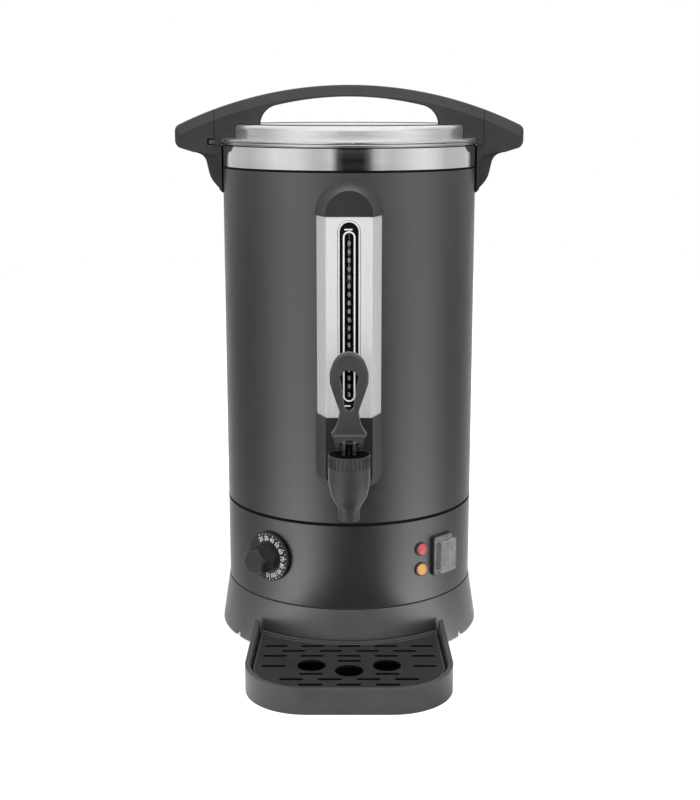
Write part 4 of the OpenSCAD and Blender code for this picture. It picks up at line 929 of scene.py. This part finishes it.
def row_tree():
    """Marks in a straight row."""
    tree, given, result = new_geometry_tree(
        "marks_in_row", [("Count", "Int"), ("Start", "Vector"), ("Step", "Vector")]
    )
    count, start, step = given.outputs[:3]
    row = add_node(
        tree, "GeometryNodeMeshLine", mode="OFFSET", Count=count, Start_Location=start, Offset=step
    )
    place_marks(tree, given, result, row.outputs[0])
    return tree


def place_tree():
    """Marks at the points of the object that the tree runs on."""
    tree, given, result = new_geometry_tree("marks_at_points", [("Points", "Geometry")])
    place_marks(tree, given, result, given.outputs["Points"])
    return tree


def run_tree(tree, name, mark, finish, points=(), **values):
    """Runs a tree on a scratch object and returns the plain mesh."""
    start = bpy.data.meshes.new("points")
    start.from_pydata(list(points), [], [])
    scratch = add_object("scratch", start)
    modifier = scratch.modifiers.new("repeat", "NODES")
    modifier.node_group = tree
    sockets = {
        item.name: item.identifier for item in tree.interface.items_tree if item.in_out == "INPUT"
    }
    holder = add_object("scratch", mark)
    values.update(Mark=holder, Finish=finish)
    for title, value in values.items():
        modifier[sockets[title.replace("_", " ")]] = value
    mesh = evaluated_mesh(scratch, name)
    bpy.data.objects.remove(holder)
    bpy.data.meshes.remove(mark)
    return mesh


ON_RING = ring_tree()
IN_ROW = row_tree()
AT_POINTS = place_tree()
print("trees:", ON_RING.name, IN_ROW.name, AT_POINTS.name)


# %% Marks
END_STEPS = 6


def rounded_bar(length, width, height):
    """A flat bar along X with round ends, for a printed tick or dot."""
    outline = []
    for side in (1, -1):
        for i in range(END_STEPS + 1):
            turn = math.pi * (i / END_STEPS - 0.5)
            outline.append((
                side * ((length - width) / 2 + width / 2 * math.cos(turn)), side * width / 2 * math.sin(turn)
            ))
    rings = [[Vector((x, y, z)) for x, y in outline] for z in (-height, height)]
    return lofted(rings, closed=False, smooth=False)


# %% [markdown]
# ## Thermostat dial
#
# The ring turns with the knob, so its print rides on the knob's body. The joint gives the
# dial's axis, and the ring's own face gives how far out the print lies. The numbers are plain
# degrees. Text objects are made a mesh first, then set upright on their radius.

# %% Dial frame
def reach(part, direction):
    """How far a part reaches in a direction, from the origin."""
    return max(vertex.co.dot(direction) for vertex in nodes[part].data.vertices)


def wall_frame(at, outward, distance):
    """A frame on the wall: X to the right, Y up, Z outwards, at a distance along outwards."""
    right = Vector((0, 0, 1)).cross(outward)
    origin = at + outward * (distance - at.dot(outward))
    frame_matrix = Matrix((right, Vector((0, 0, 1)), outward)).transposed().to_4x4()
    frame_matrix.translation = origin
    return frame_matrix


JOINTS = {joint["name"]: joint for joint in frame["joints"]}
dial_joint = JOINTS["thermostat_turn"]
dial_out = -Vector(dial_joint["axis"]).normalized()
dial_frame = wall_frame(Vector(dial_joint["pos_m"]), dial_out, reach("dial_ring", dial_out))
print("dial faces", tuple(round(v, 3) for v in dial_out))

# %% Dial print
DIAL_NUMBERS = range(20, 120, 10)
DIAL_FIRST = 118
DIAL_STEP = -22.5
NUMBER_RADIUS = 18.4 * MM
NUMBER_SIZE = 6.4 * MM
TICK_RADIUS = 22.6 * MM
DOT_RADIUS = 22.9 * MM
PRINT_HEIGHT = 0.06 * MM
NUMBER_BOLD = 0.1 * MM
NUMBER_NARROW = 0.86


def number_mesh(number):
    """A number as a flat mesh round the origin."""
    curve = bpy.data.curves.new("number", "FONT")
    curve.body = str(number)
    curve.size = NUMBER_SIZE
    curve.align_x = "CENTER"
    curve.align_y = "CENTER"
    curve.extrude = PRINT_HEIGHT
    curve.offset = NUMBER_BOLD
    curve.resolution_u = 3
    return evaluated_mesh(add_object("scratch", curve), "number")


def dial_print():
    meshes = []
    for i, number in enumerate(DIAL_NUMBERS):
        angle = math.radians(DIAL_FIRST + i * DIAL_STEP)
        mesh = number_mesh(number)
        place = Matrix.Translation((
            NUMBER_RADIUS * math.cos(angle), NUMBER_RADIUS * math.sin(angle), 0
        )) @ Matrix.Rotation(angle - math.pi / 2, 4, "Z") @ Matrix.Diagonal((NUMBER_NARROW, 1, 1, 1))
        mesh.transform(place)
        meshes.append(mesh)
    for name, length, radius, first in (
        ("ticks", 2 * MM, TICK_RADIUS, DIAL_FIRST),
        ("dots", 0.9 * MM, DOT_RADIUS, DIAL_FIRST + DIAL_STEP / 2),
    ):
        meshes.append(run_tree(
            ON_RING, name, rounded_bar(length, 0.8 * MM, PRINT_HEIGHT), white_print, Radius=radius,
            First_angle=math.radians(first), Count=len(DIAL_NUMBERS), Step_angle=math.radians(DIAL_STEP)
        ))
    mesh = joined(meshes)
    mesh.transform(dial_frame)
    return new_piece("dial_print", mesh, white_print, "knob")


dial_marks = dial_print()
print("dial:", len(DIAL_NUMBERS), "numbers,", len(dial_marks.data.polygons), "faces")

# %% [markdown]
# ## Sight gauge
#
# Behind the slot of the steel cover sits a black plate with a window, and its edge is a bright
# pressed frame with round ends. The slot itself has a turned lip in a near-white, half-metal
# finish, which is a painted highlight, and round it a band of darker steel, which is painted
# shade. The glass tube inside carries the scale: a mark every few millimetres, with a short
# bar at the highest and the lowest level, and a grey strip behind the tube that makes it read.

# %% Gauge frame and scale
FRAME_WIDE = 11.4 * MM
FRAME_BAND = 1.5 * MM
FRAME_HEIGHT = 0.5 * MM
FRAME_LOW = 15 * MM
FRAME_HIGH = 12.7 * MM
SCALE_STEP = 7.8 * MM
SCALE_MARGIN = 6 * MM
MARK_LONG = 4.6 * MM
MARK_WIDE = 2.8 * MM
SLOT_WIDE = 17.3 * MM
SLOT_MARGIN = 4.7 * MM
LIP_BAND = 1.3 * MM
LIP_HEIGHT = 0.35 * MM
SLOT_SHADE_BAND = 0.9 * MM
SLOT_SHADE_LAP = 0.2 * MM
SLOT_SHADE_HEIGHT = 0.1 * MM
STRIP_WIDE = 7.2 * MM
SLOT_STEPS = 16


def stadium(width, low_z, high_z, y):
    """An upright outline with round ends, as points in the plane at y."""
    radius = width / 2
    points = []
    for centre, start in ((high_z - radius, 0), (low_z + radius, math.pi)):
        for i in range(SLOT_STEPS + 1):
            turn = start + math.pi * i / SLOT_STEPS
            points.append(Vector((radius * math.cos(turn), y, centre + radius * math.sin(turn))))
    return points


def stadium_band(name, width, low_z, high_z, band, front, back, material):
    """A flat band with bevelled edges that runs round a slot."""
    edge = min(0.3 * MM, band / 4)
    section = (
        (0, back), (0, front + edge), (edge, front), (band - edge, front), (band, front + edge), (band, back)
    )
    rings = [stadium(width - 2 * inset, low_z + inset, high_z - inset, y) for inset, y in section]
    return new_piece(name, lofted(rings), material, "root")


scale_low = low("gauge_cover").z + FRAME_LOW
scale_high = high("gauge_cover").z - FRAME_HIGH
plate_y = low("gauge_backplate").y
stadium_band(
    "gauge_frame", FRAME_WIDE, scale_low, scale_high, FRAME_BAND, plate_y - FRAME_HEIGHT,
    plate_y + FRAME_HEIGHT, white_print
)
# The lip is a real lip whose near-white steel is a painted highlight; the darker band round it is painted shade.
for name, reach_out, band, height, material in (
    ("slot_lip", LIP_BAND, LIP_BAND, LIP_HEIGHT, highlight_steel),
    ("slot_groove", LIP_BAND + SLOT_SHADE_BAND, SLOT_SHADE_BAND + SLOT_SHADE_LAP, SLOT_SHADE_HEIGHT, plated_steel),
):
    stadium_band(
        name, SLOT_WIDE + 2 * reach_out, low("gauge_cover").z + SLOT_MARGIN - reach_out,
        high("gauge_cover").z - SLOT_MARGIN + reach_out, band, low("gauge_cover").y - height,
        low("gauge_cover").y + height, material
    )


def gauge_scale():
    """Marks on the front of the glass, and a bar above and below the frame."""
    y = low("sight_glass").y
    stand = Matrix.Rotation(math.pi / 2, 4, "X")
    mark = rounded_bar(MARK_LONG, MARK_WIDE, 0.1 * MM)
    mark.transform(stand @ Matrix.Rotation(math.pi / 2, 4, "Z"))
    count = int((scale_high - scale_low - 2 * SCALE_MARGIN) / SCALE_STEP) + 1
    scale = run_tree(
        IN_ROW, "scale", mark, grey_print, Count=count,
        Start=Vector((0, y - 0.2 * MM, scale_low + SCALE_MARGIN)), Step=Vector((0, 0, SCALE_STEP))
    )
    backing = lofted([
        stadium(STRIP_WIDE, scale_low, scale_high, high("sight_glass").y + shift * MM)
        for shift in (0.6, 0.2)
    ], closed=False, smooth=False)
    bars = []
    for x, z, length in ((-0.6, scale_high + 1.3 * MM, 7.5), (-1.6, scale_low - 4 * MM, 6)):
        bar = rounded_bar(length * MM, 1.3 * MM, 0.15 * MM)
        bar.transform(Matrix.Translation((x * MM, low("gauge_backplate").y + 0.45 * MM, z)) @ stand)
        bars.append(bar)
    new_piece("gauge_scale", scale, grey_print, "root")
    new_piece("gauge_level_bars", joined(bars), white_print, "root")
    new_piece("gauge_strip", backing, strip_grey, "root")
    return count


print(gauge_scale(), "marks, gauge frame from", round(scale_low, 4), "to", round(scale_high, 4))

# %% [markdown]
# ## Pilot lamps
#
# A pilot lamp's lens is a small faceted jewel: rows of flat facets throw the lamp's light, and
# the room's, in all directions. Twelve sides and flat shading give it its sparkle.

# %% Lamp lenses
LENS_SIDES = 12
LENS_SUNK = 0.3 * MM
LENS_STEPS = [(1.0, 0.0), (1.0, 0.45), (0.86, 0.74), (0.56, 0.92), (0.24, 1.0)]


def jewel_lens(part, material):
    """A faceted lens in the place of a part's plain dome."""
    middle = (low(part) + high(part)) / 2
    outward = Vector((middle.x, middle.y, 0)).normalized()
    radius = (high(part).z - low(part).z) / 2
    top = reach(part, outward)
    holder = reach("lamp_holders", outward)
    tall = top - holder + LENS_SUNK
    mesh = lofted([
        circle(radius * wide, tall * level, LENS_SIDES, start=(i % 2) * math.pi / LENS_SIDES)
        for i, (wide, level) in enumerate(LENS_STEPS)
    ], closed=False, smooth=False)
    mesh.transform(wall_frame(middle, outward, holder - LENS_SUNK))
    piece = new_piece(part + "_jewel", mesh, material, "root")
    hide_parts(part)
    return piece


lenses = [jewel_lens("lamp_lens_red", red_lens), jewel_lens("lamp_lens_amber", amber_lens)]
print([lens.name for lens in lenses])

# %% [markdown]
# ## Lock lugs
#
# Two lugs on the ends of the lid's handle sit in roofed recesses of the side handles and hold
# the lid down. They ride on the lid, so turning it draws them out. The construction has the
# recesses and no lugs, and nothing here stops a lid that is lifted without a turn: on its way
# up, such a lid takes the lugs through the roofs. A real lid has to be turned first.

# %% Lugs
LUG_FAR = 137.8 * MM
LUG_NEAR = 126.8 * MM
LUG_LOW = 490.3 * MM
LUG_HIGH = 494.7 * MM
LUG_FRONT = 14.6 * MM
LUG_BACK = 4 * MM


def soft_block(low_corner, high_corner, radius):
    """A block between two corners with rounded edges."""
    mesh = bmesh.new()
    bmesh.ops.create_cube(mesh, size=1)
    size = Vector(high_corner) - Vector(low_corner)
    middle = (Vector(high_corner) + Vector(low_corner)) / 2
    place = Matrix.Translation(middle) @ Matrix.Diagonal((*size, 1))
    bmesh.ops.transform(mesh, matrix=place, verts=mesh.verts)
    bmesh.ops.bevel(mesh, geom=mesh.edges[:], offset=radius, segments=3, affect="EDGES", profile=0.5)
    return auto_edges(plain_mesh(mesh, "block", smooth=True), 50)


def lock_lug(name, side):
    ends = sorted((side * LUG_FAR, side * LUG_NEAR))
    depth = sorted((side * LUG_FRONT, side * LUG_BACK))
    block = soft_block((ends[0], depth[0], LUG_LOW), (ends[1], depth[1], LUG_HIGH), 0.7 * MM)
    return new_piece(name, block, lever_plastic, "lid")


lugs = [lock_lug("lock_lug_left", -1), lock_lug("lock_lug_right", 1)]
print(len(lugs), "lock lugs")

# %% [markdown]
# ## Screws
#
# The base plate is held by six screws, and the lid's handle by four. Each screw is a loft: a
# shank, a pan head and a cross recess, which is a ring of points that steps in and out. One
# mesh is made, and the tree puts it at every place where the construction has a screw.

# %% Screws
SCREW_POINTS = 24
CROSS_DEEP = 0.35
HEAD_FACE = 0.78
HEAD_SIDE = 0.6
TIP_SHARE = 0.4
CROSS_LONG = 0.6
CROSS_SHORT = 0.2


def screw_ring(radius, z):
    return circle(radius, z, SCREW_POINTS, start=math.pi / SCREW_POINTS)


def cross_ring(radius, z):
    """A ring of points in the shape of a cross."""
    ring = screw_ring(radius, z)
    for i, point in enumerate(ring):
        point.xy *= CROSS_LONG if i % 6 in (0, 5) else CROSS_SHORT
    return ring


def screw_mesh(head_r, shank_r, head_h, length):
    """A pan head screw that hangs from z = 0 up: head below, shank above."""
    rings = [
        cross_ring(head_r, -head_h * CROSS_DEEP), cross_ring(head_r, -head_h),
        screw_ring(head_r * HEAD_FACE, -head_h), screw_ring(head_r, -head_h * HEAD_SIDE),
        screw_ring(head_r, 0), screw_ring(shank_r, 0), screw_ring(shank_r, length - shank_r),
        screw_ring(shank_r * TIP_SHARE, length),
    ]
    return auto_edges(lofted(rings, closed=False))


def islands(part):
    """The lowest and highest corner of each separate solid of a part."""
    mesh = part_mesh(part)
    waiting = set(mesh.verts)
    found = []
    while waiting:
        stack = [waiting.pop()]
        group = list(stack)
        while stack:
            for edge in stack.pop().link_edges:
                for vertex in edge.verts:
                    if vertex in waiting:
                        waiting.remove(vertex)
                        stack.append(vertex)
                        group.append(vertex)
        corners = [[pick(v.co[axis] for v in group) for axis in range(3)] for pick in (min, max)]
        found.append((Vector(corners[0]), Vector(corners[1])))
    mesh.free()
    return sorted(found, key=lambda pair: (round(pair[0].x, 5), round(pair[0].y, 5)))


def screws(part, head_h):
    """Screws in the place of a part's plain ones, heads down."""
    places = islands(part)
    low_corner, high_corner = places[0]
    head_r = (high_corner.x - low_corner.x) / 2
    seat = low_corner.z + head_h
    mark = screw_mesh(head_r, head_r * 0.5, head_h, high_corner.z - seat)
    points = [((a.x + b.x) / 2, (a.y + b.y) / 2, seat) for a, b in places]
    mesh = run_tree(AT_POINTS, part, mark, plated_steel, points=points)
    piece = new_piece(part + "_cross", mesh, plated_steel, BODY_OF[part])
    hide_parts(part)
    return piece


for part, head_h in (("base_screws", 1.6 * MM), ("lid_screws", 2 * MM)):
    print(screws(part, head_h).name, len(islands(part)), "screws")

# %% [markdown]
# ## Bead of the grille and rim of the tap
#
# The drip grille is stiffened by a thin bead all round its edge, in the tray's lighter plastic,
# which draws a painted highlight along it. Outside the bead, where the grille lies in the tray, a
# deep black band is painted shade, and the tap's ribbed ring has a thin raised rim in the lighter
# plastic as a painted highlight. Bead and band follow the grille's own outline: its top edge is
# read from the mesh, sorted into a loop, drawn inwards and swept with a small round section.

# %% Grille bead
BEAD_INSET = 3.4 * MM
BEAD_THICK = 0.8 * MM
SHADE_INSET = 1.3 * MM
SHADE_THICK = 1.3 * MM


def top_outline(part):
    """The longest loop of edges round a part's top face."""
    mesh = part_mesh(part)
    top = high(part).z
    is_top = {face: face.normal.z > 0.9 and abs(face.calc_center_median().z - top) < 0.1 * MM
              for face in mesh.faces}
    rim = [edge for edge in mesh.edges if sum(is_top[face] for face in edge.link_faces) == 1]
    waiting = set(rim)
    loops = []
    while waiting:
        edge = waiting.pop()
        loop = [edge.verts[0], edge.verts[1]]
        while True:
            onward = [e for e in loop[-1].link_edges if e in waiting]
            if not onward:
                break
            waiting.remove(onward[0])
            loop.append(onward[0].other_vert(loop[-1]))
        loops.append([vertex.co.copy() for vertex in loop[:-1]])
    mesh.free()
    return max(loops, key=lambda loop: sum((a - b).length for a, b in zip(loop, loop[1:])))


def even_loop(points, count):
    """The same closed outline with evenly spaced points."""
    closed = points + points[:1]
    lengths = [(b - a).length for a, b in zip(closed, closed[1:])]
    step = sum(lengths) / count
    result = []
    walked = 0.0
    for start, end, length in zip(closed, closed[1:], lengths):
        while len(result) * step < walked + length and len(result) < count:
            result.append(start.lerp(end, (len(result) * step - walked) / length))
        walked += length
    return result


def swept_bead(name, outline, inset, thick, z, material, body):
    """A bead swept along a closed outline, drawn inwards by inset."""
    count = len(outline)
    middle = sum(outline, Vector()) / count
    inwards = []
    for i in range(count):
        along = (outline[(i + 1) % count] - outline[i - 1]).normalized()
        across = Vector((-along.y, along.x, 0))
        inwards.append(across if across.dot(middle - outline[i]) > 0 else -across)
    rings = []
    for j in range(8):
        turn = 2 * math.pi * j / 8
        shift = inset + thick * math.cos(turn)
        rise = z + thick * math.sin(turn)
        rings.append([Vector((p.x, p.y, rise)) + side * shift for p, side in zip(outline, inwards)])
    return new_piece(name, lofted(rings), material, body)


grille_outline = even_loop(top_outline("drip_grille"), 160)
# The bead's lighter plastic draws a painted highlight, and the deep black band outside it is painted shade.
for name, inset, thick, sunk, material in (
    ("grille_bead", BEAD_INSET, BEAD_THICK, 0.0, tray_plastic),
    ("grille_groove", SHADE_INSET, SHADE_THICK, SHADE_THICK * 0.8, deep_black),
):
    swept_bead(
        name, grille_outline, inset, thick, high("drip_grille").z - sunk, material, "grille",
    )
print("grille bead of", len(grille_outline), "steps")

# %% Tap rim
bonnet_middle = (low("tap_bonnet") + high("tap_bonnet")) / 2
bonnet_r = (high("tap_bonnet").x - low("tap_bonnet").x) / 2
# A raised ring in lighter plastic along the bonnet's top edge: a painted highlight.
highlight_rim_mesh = bead(
    bonnet_r - 0.5 * MM, high("tap_bonnet").z - 0.3 * MM, 0.45 * MM, 96, tuple(bonnet_middle.xy)
)
new_piece("tap_rim", highlight_rim_mesh, tray_plastic, "root")
print("tap rim radius", round(bonnet_r, 4))

# %% [markdown]
# ## Spring of the tap
#
# The spring stands on the plug of the tap's stem and pushes against the bonnet. In the real tap,
# when the lever lifts the stem, the spring's top stays and its foot rises with the plug, so its
# coils close by the stem's travel. Here the spring is a copy of the construction's coil with its
# flat triangles merged, in blackened steel with a mesh of its own, and its shape stays fixed.

# %% Spring of the tap
spring_top = (high("tap_spring") + low("tap_spring")) / 2
spring_top.z = high("tap_spring").z
spring_coil = new_piece(
    "tap_spring_coil", merged_copy("tap_spring"), dark_steel, "root"
)
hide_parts("tap_spring")
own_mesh(spring_coil)

# %% End
print("scene dressed")
